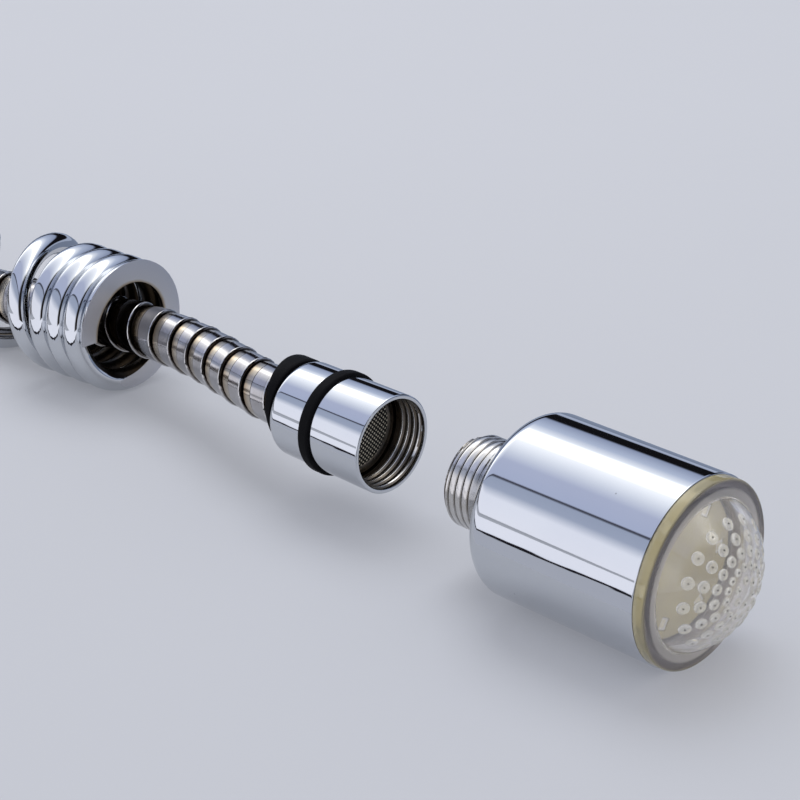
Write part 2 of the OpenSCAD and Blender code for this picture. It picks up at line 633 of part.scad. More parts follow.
module end_ferrule() color("goldenrod") at_supply() union() {
    cylinder_at(ferrule_r, 0, ferrule_len);
    cylinder_at(ferrule_flange_r, ferrule_len - flange_len, ferrule_len);
}
module end_nut() color("silver") at_supply() difference() {
    translate([0, 0, nut_back]) rotate([0, 0, 30])
        cylinder(h = nut_len, d = nut_flats / cos(30), $fn = 6);
    cylinder_at(ferrule_r + run_gap, nut_back - cut, nut_front);
    cylinder_at(relief_r, nut_shoulder, ferrule_len + washer_t + nut_relief_len);
    cylinder_at(mouth_r, nut_shoulder, nut_front + cut);
}
module end_washer() color("black") at_supply()
    collar(washer_in_r, washer_r, ferrule_len, ferrule_len + washer_t);

head_shell();
spray_face();
face_seal();
light_cover();
lights();
light_board();
generator_cup();
winding();
front_bush();
rear_bush();
swirl_plate();
turbine_shaft();
turbine_wheel();
magnet_rotor();
coupling_sleeve();
front_band();
rear_band();
hose_ferrule();
neck_washer();
strainer();
hose_jacket();
inner_hose();
spring_coil();
hose_tail();
hose_coil();
end_ferrule();
end_nut();
end_washer();
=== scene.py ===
import bpy
import bmesh
from math import radians, sin, cos, asin, pi, tau, atan2, hypot
from mathutils import Matrix, Vector


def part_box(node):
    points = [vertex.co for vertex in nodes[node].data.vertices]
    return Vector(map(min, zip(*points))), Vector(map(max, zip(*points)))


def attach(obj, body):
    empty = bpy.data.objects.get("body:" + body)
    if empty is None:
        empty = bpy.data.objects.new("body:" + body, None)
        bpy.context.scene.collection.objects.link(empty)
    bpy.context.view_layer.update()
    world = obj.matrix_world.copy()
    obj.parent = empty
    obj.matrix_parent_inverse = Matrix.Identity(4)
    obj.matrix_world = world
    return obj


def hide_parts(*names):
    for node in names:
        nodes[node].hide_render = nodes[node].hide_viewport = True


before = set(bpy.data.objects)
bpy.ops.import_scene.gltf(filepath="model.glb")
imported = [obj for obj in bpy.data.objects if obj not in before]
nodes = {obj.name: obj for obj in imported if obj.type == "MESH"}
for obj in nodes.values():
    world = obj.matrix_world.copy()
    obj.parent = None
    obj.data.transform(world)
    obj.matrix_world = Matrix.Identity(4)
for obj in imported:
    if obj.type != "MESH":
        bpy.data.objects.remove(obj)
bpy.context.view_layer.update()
print("frame loaded:", len(nodes), "nodes")

mm = 0.001
sleeveLow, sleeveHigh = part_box("coupling_sleeve")
midY = (sleeveLow.y + sleeveHigh.y) / 2
midZ = (sleeveLow.z + sleeveHigh.z) / 2
mouthFloor = Vector((sleeveHigh.x, midY, 0))           # floor point under the coupling's mouth
couplingPlace = Matrix.Translation((sleeveHigh.x, midY, midZ))
headPlace = Matrix.Translation((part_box("head_shell")[1].x, midY, midZ))


def placed(name, data):
    obj = bpy.data.objects.new(name, data)
    bpy.context.scene.collection.objects.link(obj)
    return obj


camera = {"place": (283.3, -296.1, 221.5), "toward": (-0.6244, 0.6581, -0.4208), "lens": 92.5,
          "sensor": 36, "clip": (0.01, 30)}


def makeCamera():
    data = bpy.data.cameras.new("camera")
    data.lens = camera["lens"]
    data.sensor_width = camera["sensor"]
    data.clip_start, data.clip_end = camera["clip"]
    obj = placed("camera", data)
    forward = Vector(camera["toward"]).normalized()
    right = forward.cross(Vector((0, 0, 1))).normalized()
    up = right.cross(forward)
    turn = Matrix((right, up, -forward)).transposed().to_4x4()
    obj.matrix_world = Matrix.Translation(mouthFloor + Vector(camera["place"]) * mm) @ turn
    bpy.context.scene.camera = obj


makeCamera()
print("camera placed")


# A node with its settings; its values are numbers, colours or another node's sockets
def newNode(tree, kind, values=None, **settings):
    node = tree.nodes.new(kind)
    for name, value in settings.items():
        setattr(node, name, value)
    for name, value in (values or {}).items():
        if isinstance(value, bpy.types.NodeSocket):
            tree.links.new(value, node.inputs[name])
        else:
            node.inputs[name].default_value = value
    return node


def mixColor(tree, factor, first, second, blend="MIX"):
    return newNode(tree, "ShaderNodeMix", {0: factor, 6: first, 7: second},
                   data_type="RGBA", blend_type=blend).outputs[2]


def mathNode(tree, operation, first, second=0.0):
    return newNode(tree, "ShaderNodeMath", {0: first, 1: second}, operation=operation).outputs[0]


# How far a value has come from low to high, from 0 to 1
def between(tree, value, low, high):
    return newNode(tree, "ShaderNodeMapRange",
                   {"Value": value, "From Min": low, "From Max": high}).outputs["Result"]


# A noise turned into a swing of the given size to both sides of 0
def swing(tree, noise, size):
    return mathNode(tree, "MULTIPLY", mathNode(tree, "SUBTRACT", noise, 0.5), size)


def noiseValue(tree, coords, scale, detail, **values):
    return newNode(tree, "ShaderNodeTexNoise", {"Vector": coords, "Scale": scale, "Detail": detail,
                                                **values}).outputs["Fac"]


def objectCoords(tree):
    return newNode(tree, "ShaderNodeTexCoord").outputs["Object"]


def separated(tree, vector):
    return newNode(tree, "ShaderNodeSeparateXYZ", {"Vector": vector}).outputs


def rampNode(tree, factor, stops):
    node = newNode(tree, "ShaderNodeValToRGB", {"Fac": factor})
    elements = node.color_ramp.elements
    while len(elements) < len(stops):
        elements.new(0.5)
    for element, (place, color) in zip(elements, stops):
        element.position = place
    for element, (place, color) in zip(elements, stops):
        element.color = (*color, 1)
    return node.outputs["Color"]


def newGroup(name, inputs, outputs):
    tree = bpy.data.node_groups.new(name, "ShaderNodeTree")
    for label, kind, value in inputs:
        socket = tree.interface.new_socket(name=label, in_out="INPUT", socket_type="NodeSocket" + kind)
        if value is not None:
            socket.default_value = value
    for label, kind in outputs:
        tree.interface.new_socket(name=label, in_out="OUTPUT", socket_type="NodeSocket" + kind)
    return tree, tree.nodes.new("NodeGroupInput").outputs, tree.nodes.new("NodeGroupOutput").inputs


wear = {"patch": (0.38, 0.66), "cells": 420.0, "dot": (0.10, 0.07), "rare": 0.93,
        "dirt": (0.05, 0.045, 0.04, 1), "dirtRoughness": 0.4, "smear": 3.1}


# Blotches of a second tint, uneven gloss, small dark specks and a fine surface height
def makeWearGroup():
    tree, given, out = newGroup(
        "surfaceWear",
        [("Color", "Color", (0.8, 0.8, 0.8, 1)), ("Tint", "Color", (0.7, 0.7, 0.7, 1)),
         ("Blotch", "Float", 60.0), ("Tint Amount", "Float", 0.5), ("Roughness", "Float", 0.2),
         ("Spread", "Float", 0.1), ("Speck", "Float", 0.0), ("Grain", "Float", 900.0)],
        [("Color", "Color"), ("Roughness", "Float"), ("Height", "Float")])
    coords = objectCoords(tree)
    blotch = noiseValue(tree, coords, given["Blotch"], 4.0, Roughness=0.6)
    amount = mathNode(tree, "MULTIPLY", between(tree, blotch, *wear["patch"]), given["Tint Amount"])
    tinted = mixColor(tree, amount, given["Color"], given["Tint"])
    cells = newNode(tree, "ShaderNodeTexVoronoi",
                    {"Vector": coords, "Scale": wear["cells"], "Randomness": 1.0}).outputs
    dot = between(tree, cells["Distance"], *wear["dot"])
    lot = newNode(tree, "ShaderNodeSeparateColor", {"Color": cells["Color"]}).outputs["Red"]
    chosen = mathNode(tree, "GREATER_THAN", lot, wear["rare"])
    speck = mathNode(tree, "MULTIPLY", mathNode(tree, "MULTIPLY", dot, chosen), given["Speck"])
    tree.links.new(mixColor(tree, speck, tinted, wear["dirt"]), out["Color"])
    smear = noiseValue(tree, coords, mathNode(tree, "MULTIPLY", given["Blotch"], wear["smear"]), 5.0,
                       Roughness=0.65)
    rough = mathNode(tree, "ADD", given["Roughness"], swing(tree, smear, given["Spread"]))
    dirty = mathNode(tree, "MULTIPLY", speck, wear["dirtRoughness"])
    tree.links.new(mathNode(tree, "ADD", rough, dirty), out["Roughness"])
    tree.links.new(noiseValue(tree, coords, given["Grain"], 3.0), out["Height"])
    return tree


# Fine parallel scratches, for ground and drawn metal; Stretch is the pattern's scale on each axis
def makeBrushedGroup():
    tree, given, out = newGroup(
        "brushedLines",
        [("Vector", "Vector", None), ("Stretch", "Vector", (1.0, 1.0, 1.0)),
         ("Roughness", "Float", 0.3), ("Spread", "Float", 0.2)],
        [("Roughness", "Float"), ("Height", "Float")])
    mapped = newNode(tree, "ShaderNodeVectorMath",
                     {0: given["Vector"], 1: given["Stretch"]}, operation="MULTIPLY")
    lines = noiseValue(tree, mapped.outputs["Vector"], 1.0, 5.0, Roughness=0.7)
    tree.links.new(mathNode(tree, "ADD", given["Roughness"], swing(tree, lines, given["Spread"])),
                   out["Roughness"])
    tree.links.new(lines, out["Height"])
    return tree


# A grid of wire crossings, laid diagonally over the local Y and Z axes
def makeMeshGroup():
    tree, given, out = newGroup(
        "wireMesh", [("Vector", "Vector", None), ("Pitch", "Float", 0.001)],
        [("Mask", "Float"), ("Height", "Float")])
    parts = separated(tree, given["Vector"])
    waves = []
    for operation in ("ADD", "SUBTRACT"):
        line = mathNode(tree, operation, parts["Y"], parts["Z"])
        turns = mathNode(tree, "MULTIPLY", mathNode(tree, "DIVIDE", line, given["Pitch"]), pi)
        waves.append(mathNode(tree, "ABSOLUTE", mathNode(tree, "COSINE", turns)))
    crossing = mathNode(tree, "MULTIPLY", *waves)
    tree.links.new(between(tree, crossing, 0.52, 0.86), out["Mask"])
    tree.links.new(mathNode(tree, "MAXIMUM", *waves), out["Height"])
    return tree


wearGroup = makeWearGroup()
brushedGroup = makeBrushedGroup()
meshGroup = makeMeshGroup()


def newMaterial(name, **sockets):
    material = bpy.data.materials.new(name)
    material.use_nodes = True
    tree = material.node_tree
    shader = tree.nodes["Principled BSDF"]
    for label, value in sockets.items():
        shader.inputs[label].default_value = value
    return material, tree, shader


def placeGroup(tree, group, values):
    return newNode(tree, "ShaderNodeGroup", values, node_tree=group).outputs


def raiseSurface(tree, shader, height, strength, distance=0.0002):
    raised = newNode(tree, "ShaderNodeBump",
                     {"Strength": strength, "Distance": distance, "Height": height})
    tree.links.new(raised.outputs["Normal"], shader.inputs["Normal"])


def wornMaterial(name, color, tint, roughness, spread, blotch=60.0, amount=0.5, speck=0.0,
                 grain=900.0, bump=0.02, **sockets):
    material, tree, shader = newMaterial(name, **sockets)
    wearAndShade = placeGroup(tree, wearGroup, {
        "Color": (*color, 1), "Tint": (*tint, 1), "Blotch": blotch, "Tint Amount": amount,
        "Roughness": roughness, "Spread": spread, "Speck": speck, "Grain": grain})
    tree.links.new(wearAndShade["Color"], shader.inputs["Base Color"])
    tree.links.new(wearAndShade["Roughness"], shader.inputs["Roughness"])
    raiseSurface(tree, shader, wearAndShade["Height"], bump)
    return material


# How far a point lies from an axis along X, from 0 to 1 over the reach, a little unevenly
def axisDistance(tree, coords, centre, reach, uneven):
    centred = newNode(tree, "ShaderNodeMapping", {"Vector": coords, "Location": [-c for c in centre]})
    parts = separated(tree, centred.outputs["Vector"])
    squares = [mathNode(tree, "MULTIPLY", parts[axis], parts[axis]) for axis in ("Y", "Z")]
    radius = mathNode(tree, "SQRT", mathNode(tree, "ADD", *squares))
    wobble = noiseValue(tree, coords, 140.0, 3.0)
    return mathNode(tree, "ADD", between(tree, radius, *reach), swing(tree, wobble, uneven))


# The spring's flat ends: satin ground steel, darker and tan towards the hole
def makeGroundMaterial(name, centre, reach):
    material, tree, shader = newMaterial(name, Metallic=0.7)
    coords = objectCoords(tree)
    base = rampNode(tree, axisDistance(tree, coords, centre, reach, 0.16),
                    [(0.0, (0.20, 0.15, 0.10)), (0.06, (0.44, 0.38, 0.30)),
                     (0.14, (0.54, 0.54, 0.56)), (1.0, (0.52, 0.53, 0.58))])
    tree.links.new(base, shader.inputs["Base Color"])
    lines = placeGroup(tree, brushedGroup, {"Vector": coords, "Stretch": (500.0, 5000.0, 420.0),
                                            "Roughness": 0.42, "Spread": 0.16})
    tree.links.new(lines["Roughness"], shader.inputs["Roughness"])
    raiseSurface(tree, shader, lines["Height"], 0.12, 0.0001)
    return material


# The hose's strip, coloured across one rib by the piece's own UV map: V runs over a rib
def makeHoseMaterial():
    material, tree, shader = newMaterial("hoseSteel", Metallic=1.0)
    uv = newNode(tree, "ShaderNodeUVMap", uv_map="ribMap").outputs["UV"]
    # The ramp paints light: near black in the thin groove, the deep gap and the line behind the lip as
    # painted shade, the step darkening towards the gap as painted shade, and a lighter band on the lip
    # as a painted highlight
    strip = rampNode(tree, separated(tree, uv)["Y"], [
        (0.0, (0.47, 0.465, 0.48)), (0.425, (0.47, 0.46, 0.47)), (0.437, (0.06, 0.045, 0.04)),
        (0.455, (0.06, 0.045, 0.04)), (0.468, (0.49, 0.45, 0.39)), (0.60, (0.44, 0.38, 0.30)),
        (0.70, (0.34, 0.26, 0.17)), (0.745, (0.05, 0.035, 0.025)), (0.86, (0.04, 0.03, 0.02)),
        (0.875, (0.56, 0.55, 0.55)), (0.935, (0.64, 0.63, 0.63)), (0.952, (0.18, 0.16, 0.14)),
        (0.965, (0.47, 0.46, 0.47)), (1.0, (0.47, 0.465, 0.48))])
    wearAndShade = placeGroup(tree, wearGroup, {
        "Color": strip, "Tint": (0.30, 0.27, 0.24, 1), "Blotch": 150.0, "Tint Amount": 0.35,
        "Roughness": 0.1, "Spread": 0.14, "Speck": 0.5, "Grain": 700.0})
    tree.links.new(wearAndShade["Color"], shader.inputs["Base Color"])
    tree.links.new(wearAndShade["Roughness"], shader.inputs["Roughness"])
    stretched = newNode(tree, "ShaderNodeMapping", {"Vector": uv, "Scale": (60.0, 2.0, 1.0)})
    lines = placeGroup(tree, brushedGroup, {"Vector": stretched.outputs["Vector"],
                                            "Stretch": (0.1, 12.0, 1.0)})
    raiseSurface(tree, shader, lines["Height"], 0.05)
    return material


# Bright wires over holes painted black as the shade of the bore behind them
def makeMeshMaterial():
    material, tree, shader = newMaterial("strainerMesh", Metallic=0.2)
    grid = placeGroup(tree, meshGroup, {"Vector": objectCoords(tree), "Pitch": 0.0012})
    tree.links.new(mixColor(tree, grid["Mask"], (0.008, 0.007, 0.006, 1), (0.90, 0.84, 0.70, 1)),
                   shader.inputs["Base Color"])
    tree.links.new(mathNode(tree, "SUBTRACT", 0.6, mathNode(tree, "MULTIPLY", grid["Mask"], 0.35)),
                   shader.inputs["Roughness"])
    raiseSurface(tree, shader, grid["Height"], 0.8, 0.0003)
    return material


# Clear plastic with moulding haze in its gloss; zones may paint highlight and shade rings on it by the
# distance from an axis
def makeClearMaterial(name, color, roughness, transmission, centre=None, reach=None, zones=None):
    material, tree, shader = newMaterial(name, Metallic=0.0, IOR=1.49,
                                         **{"Transmission Weight": transmission})
    wearAndShade = placeGroup(tree, wearGroup, {
        "Color": (*color, 1), "Tint": (color[0] * 0.96, color[1] * 0.95, color[2] * 0.9, 1),
        "Blotch": 90.0, "Tint Amount": 0.6, "Roughness": roughness, "Spread": roughness * 0.8,
        "Speck": 0.0, "Grain": 500.0})
    base = wearAndShade["Color"]
    if zones:
        # The zones paint rings of highlight and shade
        tint = rampNode(tree, axisDistance(tree, objectCoords(tree), centre, reach, 0.1), zones)
        base = mixColor(tree, 1.0, base, tint, "MULTIPLY")
    tree.links.new(base, shader.inputs["Base Color"])
    tree.links.new(wearAndShade["Roughness"], shader.inputs["Roughness"])
    raiseSurface(tree, shader, wearAndShade["Height"], 0.02, 0.0001)
    path = newNode(tree, "ShaderNodeLightPath").outputs
    unseen = mathNode(tree, "MAXIMUM", path["Is Shadow Ray"], path["Is Diffuse Ray"])
    through = newNode(tree, "ShaderNodeBsdfTransparent", {"Color": (*color, 1)})
    both = newNode(tree, "ShaderNodeMixShader",      # lets the light in to what lies behind
                   {0: unseen, 1: shader.outputs[0], 2: through.outputs[0]})
    tree.links.new(both.outputs[0], tree.nodes["Material Output"].inputs["Surface"])
    return material


chrome = wornMaterial("chromePlate", (0.61, 0.63, 0.66), (0.57, 0.59, 0.63), 0.04, 0.05,
                      blotch=45.0, speck=0.35, bump=0.004, Metallic=1.0)
threadChrome = wornMaterial("threadChrome", (0.64, 0.63, 0.62), (0.44, 0.41, 0.36), 0.18, 0.2,
                            blotch=260.0, speck=0.5, bump=0.03, Metallic=1.0)
# Painted shade: dark steel for thread roots, neck grooves and the strainer's rim inside the coupling
recessShade = wornMaterial("recessShade", (0.10, 0.09, 0.08), (0.20, 0.16, 0.11), 0.3, 0.2,
                          blotch=260.0, speck=0.5, bump=0.05, Metallic=1.0)
# Painted shade: near-black steel for the inside of the spring's hole
holeShadeSteel = wornMaterial("holeShadeSteel", (0.018, 0.014, 0.011), (0.05, 0.034, 0.018), 0.3, 0.2,
                         blotch=160.0, speck=0.3, bump=0.05, Metallic=1.0)
springChrome = wornMaterial("springChrome", (0.61, 0.63, 0.66), (0.54, 0.55, 0.57), 0.035, 0.05,
                            blotch=90.0, speck=0.4, bump=0.006, Metallic=1.0)
hoseSteel = makeHoseMaterial()
strainerMesh = makeMeshMaterial()
blackRubber = wornMaterial("blackRubber", (0.003, 0.003, 0.004), (0.006, 0.006, 0.007), 0.6, 0.16,
                           blotch=220.0, grain=2600.0, bump=0.25, **{"Specular IOR Level": 0.06})
innerRubber = wornMaterial("innerRubber", (0.03, 0.03, 0.032), (0.05, 0.05, 0.05), 0.5, 0.15,
                           blotch=150.0, grain=1800.0, bump=0.2)
brass = wornMaterial("brass", (0.72, 0.52, 0.25), (0.52, 0.36, 0.16), 0.28, 0.2,
                     blotch=120.0, speck=0.6, bump=0.06, Metallic=1.0)
creamPlastic = wornMaterial("creamPlastic", (0.54, 0.48, 0.25), (0.44, 0.40, 0.29), 0.42, 0.15,
                            blotch=130.0, grain=1500.0, bump=0.12)
# Painted shade: grey plastic for the head's cavity wall
cavityShadePlastic = wornMaterial("cavityShadePlastic", (0.24, 0.22, 0.25), (0.18, 0.17, 0.19), 0.45, 0.15,
                             blotch=120.0, grain=1500.0, bump=0.1)
whitePlastic = wornMaterial("whitePlastic", (0.80, 0.80, 0.77), (0.72, 0.71, 0.66), 0.4, 0.15,
                            blotch=100.0, grain=1600.0, bump=0.1)
greenBoard = wornMaterial("greenBoard", (0.02, 0.13, 0.06), (0.04, 0.20, 0.09), 0.38, 0.2,
                          blotch=420.0, amount=0.9, grain=2400.0, bump=0.1)
copper = wornMaterial("copperWinding", (0.62, 0.27, 0.12), (0.42, 0.16, 0.06), 0.3, 0.2,
                      blotch=240.0, grain=2800.0, bump=0.3, Metallic=1.0)
magnetGrey = wornMaterial("magnetGrey", (0.10, 0.10, 0.105), (0.16, 0.155, 0.15), 0.5, 0.2,
                          blotch=300.0, grain=2200.0, bump=0.2, Metallic=0.4)
drawnSteel = wornMaterial("drawnSteel", (0.72, 0.73, 0.75), (0.60, 0.60, 0.61), 0.22, 0.15,
                          blotch=300.0, grain=2400.0, bump=0.05, Metallic=1.0)
lightBody = wornMaterial("lightBody", (0.86, 0.86, 0.84), (0.78, 0.78, 0.74), 0.35, 0.12,
                         blotch=500.0, grain=3000.0, bump=0.05)
lightPhosphor = wornMaterial("lightPhosphor", (0.88, 0.85, 0.66), (0.84, 0.79, 0.55), 0.22, 0.1,
                             blotch=900.0, grain=3000.0, bump=0.08)
clearPlastic = makeClearMaterial("clearPlastic", (0.94, 0.925, 0.925), 0.06, 0.88)
beadPlastic = makeClearMaterial("beadPlastic", (0.97, 0.965, 0.93), 0.08, 0.74)
# The rim's rings are painted light: a pale ring as the fillet's highlight, a dark band as shade seen
# through the rim, and a yellow side painted as the cream cover seen through it
rimPlastic = makeClearMaterial(
    "rimPlastic", (0.97, 0.96, 0.95), 0.06, 0.60, headPlace.translation, (0.0166, 0.0202),
    [(0.0, (0.90, 0.87, 0.84)), (0.34, (0.82, 0.79, 0.77)), (0.50, (0.30, 0.28, 0.29)),
     (0.80, (0.24, 0.22, 0.23)), (0.93, (0.44, 0.40, 0.29)), (1.0, (0.66, 0.60, 0.36))])
print("materials made")


def meshFrom(name, bm):
    mesh = bpy.data.meshes.new(name)
    bm.to_mesh(mesh)
    bm.free()
    return mesh


def linkPiece(name, mesh, materials, body, stands):
    obj = placed(name, mesh)
    for material in materials:
        mesh.materials.append(material)
    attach(obj, body)
    if stands:
        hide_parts(*stands)
    return obj


# Turns the mesh into a finished piece; paint picks a material by a face's middle, in mm
def finishPiece(name, bm, place, materials, body, stands=(), sharp=32, paint=None):
    bmesh.ops.remove_doubles(bm, verts=bm.verts, dist=1e-6)
    bmesh.ops.recalc_face_normals(bm, faces=bm.faces)
    if paint:
        for face in bm.faces:
            middle = face.calc_center_median() / mm
            face.material_index = paint(middle.x, hypot(middle.y, middle.z), face)
    bm.transform(place)
    mesh = meshFrom(name, bm)
    mesh.shade_smooth()
    mesh.set_sharp_from_angle(angle=radians(sharp))
    return linkPiece(name, mesh, materials, body, stands)


# How far a vert lies from the X axis, in mm
def vertRadius(vert):
    return hypot(vert.co.y, vert.co.z) / mm


def scaleRadius(vert, scale):
    vert.co.y *= scale
    vert.co.z *= scale


# The edges at some verts, each once and always in the same order
def edgesAt(verts):
    return list(dict.fromkeys(edge for vert in verts for edge in vert.link_edges))


def roundedMiddle(face):
    return tuple(round(c, 6) for c in face.calc_center_median())


# Gives the second material to the faces whose middles are in marks
def paintMarked(marks):
    def paint(along, radius, face):
        return 1 if roundedMiddle(face) in marks else 0

    return paint


def arc(along, radius, size, start, end, count=8):
    turns = [radians(start + (end - start) * i / count) for i in range(count + 1)]
    return [(along + size * cos(turn), radius + size * sin(turn)) for turn in turns]


# Spins a line of (along, radius) points, in mm, round the X axis
def revolve(bm, points, steps=144, loop=True):
    verts = [bm.verts.new((along * mm, 0, radius * mm)) for along, radius in points]
    edges = [bm.edges.new(pair) for pair in zip(verts, verts[1:])]
    if loop:
        edges.append(bm.edges.new((verts[-1], verts[0])))
    bmesh.ops.spin(bm, geom=verts + edges, cent=(0, 0, 0), axis=(1, 0, 0), dvec=(0, 0, 0),
                   angle=tau, steps=steps, use_merge=True)


# Winds a closed section of (along, radius) points into a thread whose ends run out at its foot
def windThread(bm, thread, start):
    steps, pitch, turns = 72, thread["pitch"], thread["turns"]
    foot = thread["section"][0][1]                       # every section starts at its foot
    old = set(bm.verts)
    verts = [bm.verts.new(((start + along) * mm, 0, radius * mm))
             for along, radius in thread["section"]]
    edges = [bm.edges.new(pair) for pair in zip(verts, verts[1:] + verts[:1])]
    bmesh.ops.spin(bm, geom=verts + edges, cent=(0, 0, 0), axis=(1, 0, 0),
                   dvec=(pitch * mm / steps, 0, 0), angle=tau * turns, steps=int(steps * turns))
    added = [v for v in bm.verts if v not in old]
    bmesh.ops.holes_fill(bm, edges=edgesAt(added), sides=0)
    for vert in added:
        reached = (vert.co.x / mm - start) / (pitch * turns)
        fade = min(1, max(0, min(reached, 1 - reached) * turns * 3))
        radius = vertRadius(vert)
        scaleRadius(vert, (foot + (radius - foot) * fade) / radius)


# Cuts a solid off flat and closes it at each place along X; side is -1 or 1, where the waste lies
def trimEnds(bm, ends):
    for along, side in ends:
        cut = bmesh.ops.bisect_plane(bm, geom=bm.verts[:] + bm.edges[:] + bm.faces[:], dist=1e-7,
                                     plane_co=(along, 0, 0), plane_no=(side, 0, 0), clear_outer=True)
        rim = [e for e in cut["geom_cut"] if isinstance(e, bmesh.types.BMEdge)]
        bmesh.ops.holes_fill(bm, edges=rim, sides=0)


def curveLine(points, radius=0.0, sides=2, caps=True):
    data = bpy.data.curves.new("line", "CURVE")
    data.dimensions = "3D"
    data.twist_mode = "Z_UP" if radius == 0 else "MINIMUM"
    data.bevel_depth = radius
    data.bevel_resolution = sides
    data.use_fill_caps = caps
    spline = data.splines.new("POLY")
    spline.points.add(len(points) - 1)
    for target, point in zip(spline.points, points):
        target.co = (*point, 1)
    return placed("line", data)


# The mesh that an object has with its modifiers, and the object gone
def bakedMesh(obj, name):
    bpy.context.view_layer.update()
    graph = bpy.context.evaluated_depsgraph_get()
    mesh = bpy.data.meshes.new_from_object(obj.evaluated_get(graph))
    mesh.name = name
    bpy.data.objects.remove(obj)
    return mesh


hose = {
    "diameter": 14, "length": 1200, "ribs": 140, "steps": 28, "sharp": 22,
    "route": [(-20, 0, 20.5), (-36, 0, 20.5), (-48, 1.6, 20.4), (-60, 4.4, 19.9), (-72, 7, 19.2),
              (-86, 8.3, 18.5), (-100, 8, 17.8), (-115, 6.6, 16.3), (-130, 5.2, 14.8),
              (-150, 3.4, 13.8), (-180, 0.8, 13.6), (-210, -1.8, 13.6), (-236, -4.1, 13.2),
              (-254, -5.9, 11.8), (-274, -8.6, 9.4), (-292, -10.5, 7.6), (-306, -11, 7.1),
              (-320, -11, 7)],
    "routeSteps": 8, "coilSteps": 240, "coilCentre": (-334, -95, 7), "coilRadius": 84,
    "coilStep": 15, "coilRise": 14.5, "coilAngle": 680.335, "endRise": 7, "endRiseAngle": 60,
    # one rib: a wide flat, a thin line, a warm step, a deep gap and a raised lip
    "rib": [(0, 6.8), (3.7, 6.72), (3.76, 6.5), (3.9, 6.5), (3.96, 6.62), (6.3, 6.5),
            (6.42, 6.2), (6.5, 5.75), (7.3, 5.75), (7.42, 6.6), (7.55, 6.92), (7.75, 7.0),
            (8.0, 6.98), (8.15, 6.84), (8.6, 6.8)],
    "innerRadius": 5.2, "innerWall": 1.7,
}


def smoothStep(t):
    t = min(1, max(0, t))
    return t * t * (3 - 2 * t)


def throughPoints(points, count):
    line = []
    for i in range(len(points) - 1):
        a, b = Vector(points[max(i - 1, 0)]), Vector(points[i])
        c, d = Vector(points[i + 1]), Vector(points[min(i + 2, len(points) - 1)])
        for k in range(count):
            t = k / count
            line.append(0.5 * (2 * b + (c - a) * t + (2 * a - 5 * b + 4 * c - d) * t * t
                               + (3 * b - a - 3 * c + d) * t ** 3))
    return line + [Vector(points[-1])]


# The coil winds inwards for a turn, climbs in half a turn, and winds outwards on top
def coilPoint(angle):
    step, climbFrom, climb = hose["coilStep"], 360, 180
    climbTo = climbFrom + climb
    if angle <= climbFrom:
        radius = hose["coilRadius"] - step * angle / 360
    elif angle >= climbTo:
        radius = hose["coilRadius"] - step + step * (angle - climbTo) / 360
    else:
        dip = (angle - climbFrom) * (climbTo - angle) / (climb * 360)
        radius = hose["coilRadius"] - step - step * dip
    endFrom = hose["coilAngle"] - hose["endRiseAngle"]
    lift = (hose["coilRise"] * smoothStep((angle - climbFrom) / climb)
            + hose["endRise"] * smoothStep((angle - endFrom) / hose["endRiseAngle"]))
    turned = radians(angle)
    return Vector(hose["coilCentre"]) + Vector((-radius * sin(turned), radius * cos(turned), lift))


coilEnd = radians(hose["coilAngle"])
supplyHeading = Vector((-cos(coilEnd), -sin(coilEnd), 0))
supplyPoint = coilPoint(hose["coilAngle"]) + supplyHeading * hose["diameter"]
supplyPlace = (Matrix.Translation(mouthFloor + supplyPoint * mm)
               @ Matrix.Rotation(coilEnd + pi, 4, "Z"))
coilLine = [coilPoint(hose["coilAngle"] * k / hose["coilSteps"]) for k in range(hose["coilSteps"] + 1)]
hosePath = throughPoints(hose["route"], hose["routeSteps"]) + coilLine + [supplyPoint]
hosePath = [mouthFloor + point * mm for point in hosePath]
hoseLength = sum((b - a).length for a, b in zip(hosePath, hosePath[1:]))
print("hose path of %.1f mm" % (hoseLength / mm))


# One turn of the strip, with a UV map round it (U) and across a rib (V)
def makeRibTurn(pitch):
    bm = bmesh.new()
    scale = pitch / hose["rib"][-1][0]
    verts = [bm.verts.new((along * scale * mm, 0, radius * mm)) for along, radius in hose["rib"]]
    edges = [bm.edges.new(pair) for pair in zip(verts, verts[1:])]
    bmesh.ops.spin(bm, geom=verts + edges, cent=(0, 0, 0), axis=(1, 0, 0),
                   dvec=(pitch * mm / hose["steps"], 0, 0), angle=tau, steps=hose["steps"])
    layer = bm.loops.layers.uv.new("ribMap")
    for face in bm.faces:
        middle = face.calc_center_median()
        middleTurn = (atan2(-middle.y, middle.z) / tau) % 1
        for loop in face.loops:
            turn = (atan2(-loop.vert.co.y, loop.vert.co.z) / tau) % 1
            turn += round(middleTurn - turn)
            loop[layer].uv = (turn, loop.vert.co.x / (pitch * mm) - turn)
        face.smooth = True
    bmesh.ops.translate(bm, verts=bm.verts, vec=(-pitch * mm, 0, 0))
    return meshFrom("ribTurn", bm)


